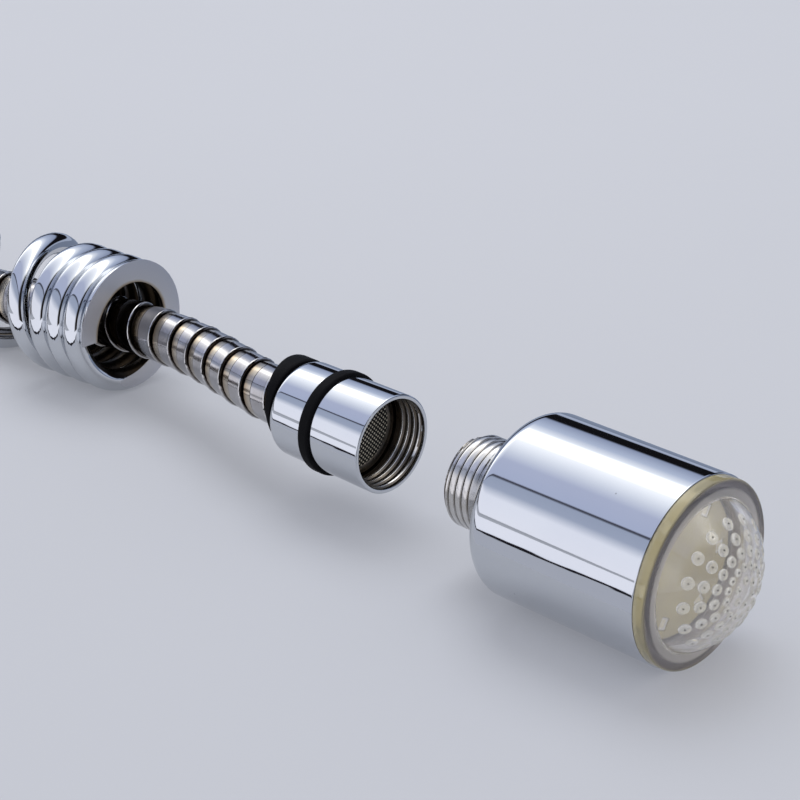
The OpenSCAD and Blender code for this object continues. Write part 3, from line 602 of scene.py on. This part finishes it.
# Repeats the turn to a straight hose, trims its ends and bends it along its path
def makeHose():
    pitch = hoseLength / mm / hose["ribs"]
    straight = placed("ribTurn", makeRibTurn(pitch))
    repeat = straight.modifiers.new("repeat", "ARRAY")
    repeat.count = hose["ribs"] + 1
    repeat.use_relative_offset = False
    repeat.use_constant_offset = True
    repeat.constant_offset_displace = (pitch * mm, 0, 0)
    repeat.use_merge_vertices = True
    repeat.merge_threshold = 1e-5
    bm = bmesh.new()
    bm.from_mesh(bakedMesh(straight, "strip"))
    trimEnds(bm, [(0, -1), (hoseLength, 1)])
    bmesh.ops.recalc_face_normals(bm, faces=bm.faces)
    straight = placed("straightHose", meshFrom("straightHose", bm))
    line = curveLine(hosePath)
    bend = straight.modifiers.new("bend", "CURVE")
    bend.object = line
    bend.deform_axis = "POS_X"
    mesh = bakedMesh(straight, "ribbedHose")
    bpy.data.objects.remove(line)
    mesh.shade_smooth()
    mesh.set_sharp_from_angle(angle=radians(hose["sharp"]))
    return linkPiece("ribbedHose", mesh, [hoseSteel], "base",
                     ["hose_jacket", "hose_tail", "hose_coil"])


def makeInnerHose():
    mesh = bakedMesh(curveLine(hosePath, hose["innerRadius"] * mm, 3, caps=False), "innerHose")
    mesh.shade_smooth()
    obj = linkPiece("innerHose", mesh, [innerRubber], "base", ["inner_hose"])
    wall = obj.modifiers.new("wall", "SOLIDIFY")
    wall.thickness = hose["innerWall"] * mm
    wall.offset = -1
    return obj


ribbedHose = makeHose()
innerHose = makeInnerHose()
print("hose made,", len(ribbedHose.data.polygons), "faces")


# corner: how far in from the nut's end, and the radius there as a share of half its flats
supply = {"flats": 24, "back": 2.8, "front": 17.8, "corner": [(0, 0.96), (0.9, 1.04), (1.2, 1.2)],
          "bore": 11.0, "mouth": 11.6, "mouthDepth": 0.8, "inner": 8.0, "backBore": 8.5,
          "shoulder": 5.8, "threadFrom": 9.5, "pitch": 1.814, "turns": 4,
          "section": [(-0.75, 11.1), (-0.3, 10.6), (0, 10.5), (0.3, 10.6), (0.75, 11.1)]}


def hexReach(turn):
    return 1 / cos(turn % radians(60) - radians(30))     # a flat lies on top


def makeSupplyNut():
    bm = bmesh.new()
    flat, back, front = supply["flats"] / 2, supply["back"], supply["front"]
    outline = [(back, supply["backBore"])]
    outline += [(back + inset, flat * share) for inset, share in supply["corner"]]
    outline += [(front - inset, flat * share) for inset, share in reversed(supply["corner"])]
    outline += [(front, supply["mouth"]), (front - supply["mouthDepth"], supply["bore"]),
                (supply["shoulder"], supply["bore"]), (supply["shoulder"], supply["inner"]),
                (back, supply["inner"])]
    revolve(bm, outline)
    for vert in bm.verts:
        radius = vertRadius(vert)
        reach = flat * hexReach(atan2(vert.co.z, vert.co.y))
        if radius > reach:
            scaleRadius(vert, reach / radius)
    windThread(bm, supply, supply["threadFrom"])
    return finishPiece("supplyNut", bm, supplyPlace, [chrome], "supply_nut",
                       ["end_nut"], sharp=24)


ferrule = {"length": 8, "socket": 7.1, "socketEnd": 0.2, "barrel": 7.8, "crimped": 7.5,
           "crimps": (-6.2, -4.0, -1.8), "neck": 7.9, "flangeFrom": 6, "flange": 10.05, "bore": 3.6}


def makeSupplyFerrule():
    bm = bmesh.new()
    length, barrel, flange = ferrule["length"], ferrule["barrel"], ferrule["flange"]
    outline = [(-length, ferrule["socket"]), (-length, barrel - 0.2), (0.2 - length, barrel)]
    for groove in ferrule["crimps"]:
        outline += [(groove - 0.5, barrel), (groove - 0.25, ferrule["crimped"]),
                    (groove + 0.25, ferrule["crimped"]), (groove + 0.5, barrel)]
    outline += [(0, ferrule["neck"]), (ferrule["flangeFrom"], ferrule["neck"]),
                (ferrule["flangeFrom"], flange - 0.15), (ferrule["flangeFrom"] + 0.2, flange),
                (length - 0.2, flange), (length, flange - 0.15), (length, ferrule["bore"]),
                (ferrule["socketEnd"], ferrule["bore"]), (ferrule["socketEnd"], ferrule["socket"])]
    revolve(bm, outline, steps=96)
    return finishPiece("supplyFerrule", bm, supplyPlace, [brass], "base", ["end_ferrule"])


supplyNut = makeSupplyNut()
supplyFerrule = makeSupplyFerrule()
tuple(hosePath[0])
print("supply end made")


spring = {"mouth": (-99.5, 7.8, 17.6), "turned": 5, "outer": 35.2, "wire": 5.8, "closedPitch": 6.3,
          "openPitch": 34.1, "closedTurns": 4, "openTurns": 3, "rearTurns": 2, "endArc": 0.35,
          "ground": 0.3, "openLead": 0.65, "ease": 0.8, "perTurn": 64, "sides": 6, "holeShadeRadius": 13.6,
          "tinted": (0.0118, 0.0176)}
springTurns = spring["closedTurns"] + spring["openTurns"] + spring["rearTurns"] - 1
springLength = (spring["closedPitch"] * springTurns + 2 * spring["ground"]
                + (spring["openPitch"] - spring["closedPitch"]) * spring["openTurns"])
springPlace = (Matrix.Translation(mouthFloor + Vector(spring["mouth"]) * mm)
               @ Matrix.Rotation(radians(spring["turned"]), 4, "Z"))


def pitchRamp(u):
    ease = spring["ease"]
    return 0 if u < 0 else u * u / (2 * ease) if u < ease else u - ease / 2


# A point of the wire after u turns: a step back each turn, wider where the spring opens
def wirePoint(u):
    openFrom = spring["closedTurns"] - spring["openLead"]
    back = (spring["ground"] + spring["closedPitch"] * (u - sin(tau * u) / tau)
            + (spring["openPitch"] - spring["closedPitch"])
            * (pitchRamp(u - openFrom) - pitchRamp(u - openFrom - spring["openTurns"])))
    radius = (spring["outer"] - spring["wire"]) / 2
    turn = tau * (u + spring["endArc"]) - pi
    return Vector((-back, radius * cos(turn), -radius * sin(turn))) * mm


def makeSpring():
    total = springTurns + 2 * spring["endArc"]
    count = int(total * spring["perTurn"])
    points = [wirePoint(-spring["endArc"] + total * k / count) for k in range(count + 1)]
    bm = bmesh.new()
    bm.from_mesh(bakedMesh(curveLine(points, spring["wire"] / 2 * mm, spring["sides"]), "wire"))
    bmesh.ops.remove_doubles(bm, verts=bm.verts, dist=1e-6)
    trimEnds(bm, [(0, 1), (-springLength * mm, -1)])

    def paint(along, radius, face):
        flatEnd = min(abs(along), abs(along + springLength)) < 0.01
        if flatEnd and abs(face.normal.x) > 0.9:
            return 1
        closed = along > -spring["closedPitch"] * spring["closedTurns"]
        return 2 if closed and radius < spring["holeShadeRadius"] else 0   # the inner faces of the closed turns are painted dark as the shade inside the hole

    ground = makeGroundMaterial("groundSteel", springPlace.translation, spring["tinted"])
    finishPiece("springWire", bm, springPlace, [springChrome, ground, holeShadeSteel], "base",
                ["spring_coil"], paint=paint)


makeSpring()
print("spring made")


coupling = {"outer": 11.6, "rear": 11.4, "length": 29.0, "round": 2.5, "bore": 8.0, "lip": 10.62,
            "threadRoot": 11.0, "relief": 10.9, "reliefFrom": 9.0, "floor": 14.0, "wearAndShade": 10.75,
            "threadFrom": -8.4, "pitch": 1.814, "turns": 4,
            "section": [(-0.72, 11.1), (-0.3, 10.62), (-0.1, 10.5), (0.1, 10.5), (0.3, 10.62),
                        (0.72, 11.1)],
            "band": 14.8, "bandWidth": 3.0, "bandDepth": 0.7, "bandProud": 0.8, "bandRound": 0.55}


def sleeveRadius(back):
    return coupling["outer"] + (coupling["rear"] - coupling["outer"]) * back / coupling["length"]


bandFront, bandBack = coupling["band"], coupling["band"] + coupling["bandWidth"]
bandFloor = sleeveRadius(bandFront) - coupling["bandDepth"]


# The outline runs from the rear over the outside to the mouth, and back through the bore
def makeSleeve():
    bm = bmesh.new()
    length, rear, soft = coupling["length"], coupling["rear"], coupling["round"]
    lip, root, bore, floor = (coupling[part] for part in ("lip", "threadRoot", "bore", "floor"))
    outline = [(-length, bore)] + arc(soft - length, rear - soft, soft, 180, 90, 12)
    outline += [(-bandBack - 0.1, sleeveRadius(bandBack)), (-bandBack, sleeveRadius(bandBack) - 0.1),
                (-bandBack, bandFloor), (-bandFront, bandFloor),
                (-bandFront, sleeveRadius(bandFront) - 0.1), (-bandFront + 0.1, sleeveRadius(bandFront))]
    outline += arc(-0.3, coupling["outer"] - 0.3, 0.3, 90, 0, 6)
    outline += [(0, lip + 0.2), (-0.06, lip + 0.05), (-0.2, lip), (-0.45, lip), (-0.75, root),
                (-coupling["reliefFrom"], root), (-coupling["reliefFrom"], coupling["relief"]),
                (-floor, coupling["relief"]), (-floor, bore)]
    revolve(bm, outline, steps=192)
    windThread(bm, coupling, coupling["threadFrom"])

    def paint(along, radius, face):
        if radius > root + 0.02 or along > -0.7 or along < -floor - 0.1:
            return 0
        # Inside, the crests keep the thread chrome and the roots between them are painted shade
        return 1 if radius < coupling["wearAndShade"] else 2

    finishPiece("couplingSleeve", bm, couplingPlace, [chrome, threadChrome, recessShade],
                "coupling", ["coupling_sleeve"], paint=paint)


def makeFrontBand():
    bm = bmesh.new()
    high = sleeveRadius(bandFront) + coupling["bandProud"]
    soft = coupling["bandRound"]
    revolve(bm, [(-bandBack, bandFloor), *arc(soft - bandBack, high - soft, soft, 180, 90, 6),
                 *arc(-bandFront - soft, high - soft, soft, 90, 0, 6), (-bandFront, bandFloor)])
    finishPiece("frontBand", bm, couplingPlace, [blackRubber], "coupling",
                ["front_band"])


rearRing = {"front": -29.3, "middle": -32.2, "slope": 4.8 / 22.6, "lean": 45, "outer": 11.3,
            "inner": 7.2, "taper": 0.075}


# A ring whose rear face leans, so that it is long at the top, and thin and narrow below
def makeRearRing():
    bm = bmesh.new()
    outer, inner = rearRing["outer"], rearRing["inner"]
    revolve(bm, [(0, inner), (0, outer - 0.25), (0.06, outer - 0.05), (0.14, outer), (0.5, outer),
                 (0.82, outer), (0.93, outer - 0.1), (1, outer - 0.35), (1, inner)])
    lean = radians(rearRing["lean"])
    for vert in bm.verts:
        up = (vert.co.z * cos(lean) + vert.co.y * sin(lean)) / mm
        rear = rearRing["middle"] - rearRing["slope"] * up
        vert.co.x = (rearRing["front"] + (rear - rearRing["front"]) * vert.co.x / mm) * mm
        if vertRadius(vert) > inner + 0.1:
            scaleRadius(vert, 1 - rearRing["taper"] * (outer - up) / outer)
    finishPiece("rearRing", bm, couplingPlace, [blackRubber], "base", ["rear_band"])


strainer = {"front": -10.0, "woven": 8.7,
            "profile": [(0.42, 0), (0.36, 5), (0.25, 8.6), (0.55, 9.0), (0.6, 9.3), (0.6, 10.2),
                        (0.5, 10.34), (0, 10.34), (0, 0)]}


def makeStrainer():
    bm = bmesh.new()
    revolve(bm, [(strainer["front"] + along, radius) for along, radius in strainer["profile"]],
            steps=96, loop=False)

    def paint(along, radius, face):
        # The rim round the woven disc is painted shade
        return 0 if radius < strainer["woven"] else 1

    finishPiece("strainerDisc", bm, couplingPlace, [strainerMesh, recessShade], "base",
                ["strainer"], paint=paint)


makeSleeve()
makeFrontBand()
makeRearRing()
makeStrainer()
print("coupling made")


head = {"outer": 20.5, "wall": 39.5, "cone": 9.0, "neck": 10.0, "shoulder": 4.0, "bendAngle": 49.8,
        "bore": 7.0, "neckFlat": 12.05, "threadRoot": 9.55, "wearAndShade": 9.9, "cavity": 18.2,
        "cavityBack": 37.2, "cavityStep": 15.0, "threadFrom": 0.6, "pitch": 1.814, "turns": 4.5,
        "section": [(-0.89, 9.45), (-0.78, 10.0), (-0.62, 10.32), (-0.35, 10.45), (0.35, 10.45),
                    (0.62, 10.32), (0.78, 10.0), (0.89, 9.45)]}


# True where a face looks at the axis
def inward(face):
    middle = face.calc_center_median()
    return face.normal.y * middle.y + face.normal.z * middle.z < 0


# The outline runs from the neck over the cone and wall to the front rim, and back through the bore
def makeHeadShell():
    bm = bmesh.new()
    wall, outer, soft = head["wall"], head["outer"], head["shoulder"]
    root, bore, cavity = head["threadRoot"], head["bore"], head["cavity"]
    neckFront = -wall - head["cone"]
    neckEnd = neckFront - head["neck"]
    outline = [(neckEnd, bore + 0.3), (neckEnd, root - 0.35), (neckEnd + 0.35, root),
               (neckFront - 0.9, root), (neckFront - 0.75, root - 0.25), (neckFront - 0.1, root - 0.25),
               (neckFront, root - 0.1), (neckFront, head["neckFlat"] - 0.25),
               (neckFront + 0.1, head["neckFlat"] - 0.05)]
    outline += arc(-wall, outer - soft, soft, 90 + head["bendAngle"], 90, 16)
    outline += arc(-0.3, outer - 0.3, 0.3, 90, 0, 6)
    outline += [(0, cavity), (-head["cavityBack"], cavity), (-head["cavityBack"], head["cavityStep"]),
                (neckFront + 1.5, bore), (neckEnd + 0.3, bore)]
    revolve(bm, outline, steps=256)
    windThread(bm, head, neckEnd + head["threadFrom"])

    def paint(along, radius, face):
        if along < neckFront - 0.05 and radius > bore + 0.1:
            # The neck's grooves between the crests are painted shade
            return 1 if radius > head["wearAndShade"] or along < neckEnd + 0.4 else 3
        inside = neckFront + 1 < along < -0.1 and radius < cavity + 0.05
        # The cavity wall's inward faces are painted grey as shade
        return 2 if inside and inward(face) else 0

    finishPiece("headShell", bm, headPlace, [chrome, threadChrome, cavityShadePlastic, recessShade],
                "head", ["head_shell"], paint=paint)


makeHeadShell()
print("head shell made")


sprayFace = {"rim": 20.2, "rimDepth": 2.6, "rimRound": 0.6, "rimFlat": (18.3, 17.0), "seat": 0.02,
             "skirt": 18.05, "skirtIn": 16.15, "skirtBack": 19.0, "groove": (4.15, 2.25),
             "grooveFloor": 16.9, "dome": 16.5, "ball": 19.08, "ballBack": 6.98, "wall": 2.0,
             "domeSteps": 24, "paintedRimFrom": 16.6}


# The outline runs from the dome's inside over the skirt, its seal groove and the rim to the dome
def makeSprayFace():
    bm = bmesh.new()
    ball, depth, rim, soft = (sprayFace[part] for part in ("ball", "rimDepth", "rim", "rimRound"))
    skirt, skirtIn, back = sprayFace["skirt"], sprayFace["skirtIn"], -sprayFace["skirtBack"]
    grooveBack, grooveFront = (-place for place in sprayFace["groove"])
    foot, steps = asin(sprayFace["dome"] / ball), sprayFace["domeSteps"]

    def domeLine(size):
        return [(size * cos(foot * i / steps) - sprayFace["ballBack"], size * sin(foot * i / steps))
                for i in range(steps + 1)]

    inner = domeLine(ball - sprayFace["wall"])
    outline = inner + [(inner[-1][0], skirtIn), (back, skirtIn), (back, skirt), (grooveBack, skirt),
                       (grooveBack, sprayFace["grooveFloor"]), (grooveFront, sprayFace["grooveFloor"]),
                       (grooveFront, skirt), (sprayFace["seat"], skirt),
                       (sprayFace["seat"], rim - 0.1), (sprayFace["seat"] + 0.1, rim)]
    outline += arc(depth - soft, rim - soft, soft, 90, 0, 6)
    outline += [(depth, radius) for radius in sprayFace["rimFlat"]] + domeLine(ball)[::-1]
    revolve(bm, outline, loop=False)

    def paint(along, radius, face):
        # The rim's faces take the rim plastic with its painted highlight and shade rings
        return 0 if along < sprayFace["seat"] + 0.03 or radius < sprayFace["paintedRimFrom"] else 1

    finishPiece("sprayFace", bm, headPlace, [clearPlastic, rimPlastic], "head",
                ["spray_face"], paint=paint)


nozzles = {"rows": 16, "rings": (5.4, 8.0, 10.6, 13.2), "beads": (0.9, 1.2, 1.32, 1.38),
           "middle": 2.6, "middleCount": 6, "bore": 0.18, "proud": 0.24, "sunk": 0.35}


# Every nozzle is a low clear bead on the dome, with a water hole painted dark as the shade inside it
def makeNozzles():
    bm = bmesh.new()
    ball, hole, proud = sprayFace["ball"], nozzles["bore"], nozzles["proud"]
    spots = [(ring, wide, tau * row / nozzles["rows"]) for row in range(nozzles["rows"])
             for ring, wide in zip(nozzles["rings"], nozzles["beads"])]
    spots += [(nozzles["middle"], nozzles["beads"][0], tau * i / nozzles["middleCount"])
              for i in range(nozzles["middleCount"])]
    holeFloor = ball - 0.1
    marks = set()
    for ring, wide, turn in spots:
        old = set(bm.verts)
        crown = [(holeFloor + (proud + 0.1) * cos(radians(t)), wide * sin(radians(t)))
                 for t in (16, 34, 52, 70, 90)]
        revolve(bm, [(holeFloor, 0), (holeFloor, hole), (ball + proud - 0.04, hole), *crown,
                     (ball - nozzles["sunk"], wide * 0.98), (ball - nozzles["sunk"], 0)],
                steps=16, loop=False)
        added = [v for v in bm.verts if v not in old]
        holeFaces = {f for v in added for f in v.link_faces
                     if all(vertRadius(u) < hole + 0.01 and u.co.x > (holeFloor - 0.1) * mm
                            for u in f.verts)}
        place = (Matrix.Translation((-sprayFace["ballBack"] * mm, 0, 0))
                 @ Matrix.Rotation(turn, 4, "X") @ Matrix.Rotation(-asin(ring / ball), 4, "Y"))
        bmesh.ops.transform(bm, matrix=place, verts=added)
        marks |= {roundedMiddle(f) for f in holeFaces}
    finishPiece("sprayNozzles", bm, headPlace, [beadPlastic, innerRubber], "head",
                sharp=40, paint=paintMarked(marks))


lights = {"count": 6, "ring": 12.0, "back": -3.2, "size": (1.2, 2.6, 2.6), "bevel": 0.12,
          "windowEdge": 0.35, "windowSlope": 0.08, "windowDepth": 0.25}


# Each light is a beveled body with a sunk yellow window
def makeLights():
    bm = bmesh.new()
    marks = set()
    for i in range(lights["count"]):
        old = set(bm.verts)
        cube = bmesh.ops.create_cube(bm, size=1)
        place = (Matrix.Rotation(tau * (i + 0.5) / lights["count"], 4, "X")
                 @ Matrix.Translation((lights["back"] * mm, 0, lights["ring"] * mm))
                 @ Matrix.Diagonal([side * mm for side in lights["size"]] + [1]))
        bmesh.ops.transform(bm, matrix=place, verts=cube["verts"])
        edges = edgesAt([v for v in bm.verts if v not in old])
        bmesh.ops.bevel(bm, geom=edges, offset=lights["bevel"] * mm, segments=2, affect="EDGES",
                        profile=0.5, material=-1)
        front = max((f for f in bm.faces if any(v not in old for v in f.verts)),
                    key=lambda f: (round(f.normal.x, 2), f.calc_area()))
        for thickness, depth in ((lights["windowEdge"], 0),
                                 (lights["windowSlope"], -lights["windowDepth"])):
            bmesh.ops.inset_individual(bm, faces=[front], thickness=thickness * mm, depth=depth * mm)
        marks.add(roundedMiddle(front))
    finishPiece("faceLights", bm, headPlace, [lightBody, lightPhosphor], "head",
                ["lights"], paint=paintMarked(marks))


makeSprayFace()
makeNozzles()
makeLights()
print("spray face made")


# The nodes that keep their shape
nodeFinish = {
    "face_seal": blackRubber, "light_cover": creamPlastic, "light_board": greenBoard,
    "generator_cup": whitePlastic, "winding": copper, "front_bush": brass, "rear_bush": brass,
    "swirl_plate": whitePlastic, "turbine_shaft": drawnSteel, "turbine_wheel": whitePlastic,
    "magnet_rotor": magnetGrey, "hose_ferrule": brass, "neck_washer": blackRubber,
    "end_washer": blackRubber,
}
for name, material in nodeFinish.items():
    obj = nodes[name]
    if not obj.material_slots:
        obj.data.materials.append(material)
    for holder in obj.material_slots:
        holder.material = material
print("inner pieces finished")


studio = {
    "floor": (0.385, 0.398, 0.437), "floorGlow": 0.175, "floorColor": (0.97, 1.0, 1.1, 1),
    "plain": (0.62, 0.64, 0.69), "fill": 0.75, "fillColor": (1, 1, 1.02, 1),
    "keyPlace": (-0.35, 0.35, 1.1), "keyPower": 6.0, "keySize": 0.9,
    # what polished metal mirrors, by the angle round the X axis: 0 is level to the rear, 90 is up
    "mirrored": [(-180, (1.15, 1.16, 1.27)), (-150, (0.50, 0.55, 0.70)), (0, (0.48, 0.54, 0.70)),
                 (7, (0.48, 0.54, 0.70)), (8.5, (0.008, 0.008, 0.01)), (26, (0.008, 0.008, 0.01)),
                 (29, (0.38, 0.44, 0.62)), (46, (0.66, 0.74, 0.94)), (56, (1.2, 1.24, 1.34)),
                 (62, (2.6, 2.6, 2.6)), (73, (2.6, 2.6, 2.6)), (80, (1.5, 1.52, 1.58)),
                 (90, (1.2, 1.24, 1.34)), (99, (0.93, 0.98, 1.12)), (110, (0.62, 0.67, 0.88)),
                 (131.5, (0.58, 0.64, 0.86)), (132, (0.05, 0.05, 0.07)), (133.5, (0.05, 0.05, 0.07)),
                 (134, (0.46, 0.52, 0.68)), (146, (0.50, 0.56, 0.72)), (157, (1.12, 1.14, 1.26)),
                 (180, (1.15, 1.16, 1.27))],
    "dark": (0.02, 0.018, 0.016), "darkFrom": (0.74, 0.84),      # ahead of the spray face
}


# Plain soft light for all but mirroring surfaces, which see the bands of a light tent
def makeWorld():
    world = bpy.data.worlds.new("studio")
    bpy.context.scene.world = world
    world.use_nodes = True
    tree = world.node_tree
    plain = tree.nodes["Background"]
    plain.inputs["Color"].default_value = (*studio["plain"], 1)
    parts = separated(tree, newNode(tree, "ShaderNodeTexCoord").outputs["Generated"])
    turn = mathNode(tree, "ARCTAN2", parts["Z"], parts["Y"])
    factor = mathNode(tree, "ADD", mathNode(tree, "DIVIDE", turn, tau), 0.5)
    mirrored = rampNode(tree, factor, [(angle / 360 + 0.5, color)
                                       for angle, color in studio["mirrored"]])
    ahead = between(tree, parts["X"], *studio["darkFrom"])
    mirrored = mixColor(tree, ahead, mirrored, (*studio["dark"], 1))
    boxes = newNode(tree, "ShaderNodeBackground", {"Color": mirrored, "Strength": 1.0})
    light = newNode(tree, "ShaderNodeBackground", {"Color": studio["fillColor"],
                                                   "Strength": studio["fill"]})
    path = newNode(tree, "ShaderNodeLightPath").outputs
    seen = mathNode(tree, "MAXIMUM", path["Is Camera Ray"], path["Is Transmission Ray"])
    lit = newNode(tree, "ShaderNodeMixShader", {0: seen, 1: light.outputs[0], 2: plain.outputs[0]})
    whole = newNode(tree, "ShaderNodeMixShader", {0: path["Is Glossy Ray"], 1: lit.outputs[0],
                                                  2: boxes.outputs[0]})
    tree.links.new(whole.outputs[0], tree.nodes["World Output"].inputs["Surface"])


def makeKeyLight():
    data = bpy.data.lights.new("keyLight", "AREA")
    data.shape = "DISK"
    data.size = studio["keySize"]
    data.energy = studio["keyPower"]
    obj = placed("keyLight", data)
    obj.location = studio["keyPlace"]
    obj.rotation_euler = Vector(studio["keyPlace"]).to_track_quat("Z", "Y").to_euler()
    obj.visible_glossy = False


def stagePlane(name, low, high, height, material):
    bm = bmesh.new()
    made = bmesh.ops.create_grid(bm, x_segments=1, y_segments=1, size=0.5)
    size = Matrix.Diagonal((high[0] - low[0], high[1] - low[1], 1, 1))
    middle = Matrix.Translation(((low[0] + high[0]) / 2, (low[1] + high[1]) / 2, height))
    bmesh.ops.transform(bm, matrix=middle @ size, verts=made["verts"])
    obj = placed(name, meshFrom(name, bm))
    obj.data.materials.append(material)
    return obj


# The white card starts at the coil's side of the spring; its near edge is dark and a little ragged
card = {"height": 0.0002, "whiteFrom": mouthFloor.x - 0.2, "whiteY": midY - 0.045,
        "greyY": midY + 0.06, "far": 4, "deep": 5, "grey": (0.24, 0.285, 0.39, 1),
        "edgeX": (mouthFloor.x - 0.12, mouthFloor.x + 0.13), "edgeY": (midY - 0.047, midY - 0.104),
        "edgeWidth": 0.03, "ragged": 0.9, "ragScale": 42.0,
        "white": [(0.0, (0.56, 0.58, 0.66)), (0.05, (0.012, 0.012, 0.016)),
                  (0.38, (0.016, 0.016, 0.02)), (0.46, (1.1, 1.12, 1.24)), (1.0, (1.15, 1.16, 1.27))]}


def glowMaterial(name):
    material = bpy.data.materials.new(name)
    material.use_nodes = True
    tree = material.node_tree
    tree.nodes.remove(tree.nodes["Principled BSDF"])
    glow = newNode(tree, "ShaderNodeEmission", {"Strength": 1.0})
    tree.links.new(glow.outputs[0], tree.nodes["Material Output"].inputs["Surface"])
    return material, tree, glow.inputs["Color"]


# A white card lying in front of the object and a grey one behind, for polished surfaces alone
def makeCards():
    white, tree, color = glowMaterial("bounceCard")
    coords = objectCoords(tree)
    parts = separated(tree, coords)
    edge = newNode(tree, "ShaderNodeMapRange",
                   {"Value": parts["X"], "From Min": card["edgeX"][0], "From Max": card["edgeX"][1],
                    "To Min": card["edgeY"][0], "To Max": card["edgeY"][1]}).outputs["Result"]
    fromEdge = mathNode(tree, "DIVIDE", mathNode(tree, "SUBTRACT", edge, parts["Y"]),
                        card["edgeWidth"])
    rag = swing(tree, noiseValue(tree, coords, card["ragScale"], 6.0), card["ragged"])
    tree.links.new(rampNode(tree, mathNode(tree, "ADD", fromEdge, rag), card["white"]), color)
    grey, tree, color = glowMaterial("greyCard")
    color.default_value = card["grey"]
    far, deep, height = card["far"], card["deep"], card["height"]
    for plane in (stagePlane("bounceCard", (card["whiteFrom"], midY - deep), (far, card["whiteY"]),
                             height, white),
                  stagePlane("greyCard", (-far, card["greyY"]), (far, midY + deep), height, grey)):
        plane.visible_camera = False
        plane.visible_diffuse = False
        plane.visible_shadow = False
        plane.visible_transmission = False


bpy.context.scene.view_settings.view_transform = "Standard"
makeWorld()
makeKeyLight()
floorMaterial = wornMaterial("paleFloor", studio["floor"], [c * 0.985 for c in studio["floor"]],
                             0.75, 0.1, blotch=7.0, grain=1200.0, bump=0.02,
                             **{"Emission Color": studio["floorColor"], "Specular IOR Level": 0.0,
                                "Emission Strength": studio["floorGlow"]})
stagePlane("floor", (-6, -6), (6, 6), -0.0002, floorMaterial)
makeCards()
print("stage and light made")
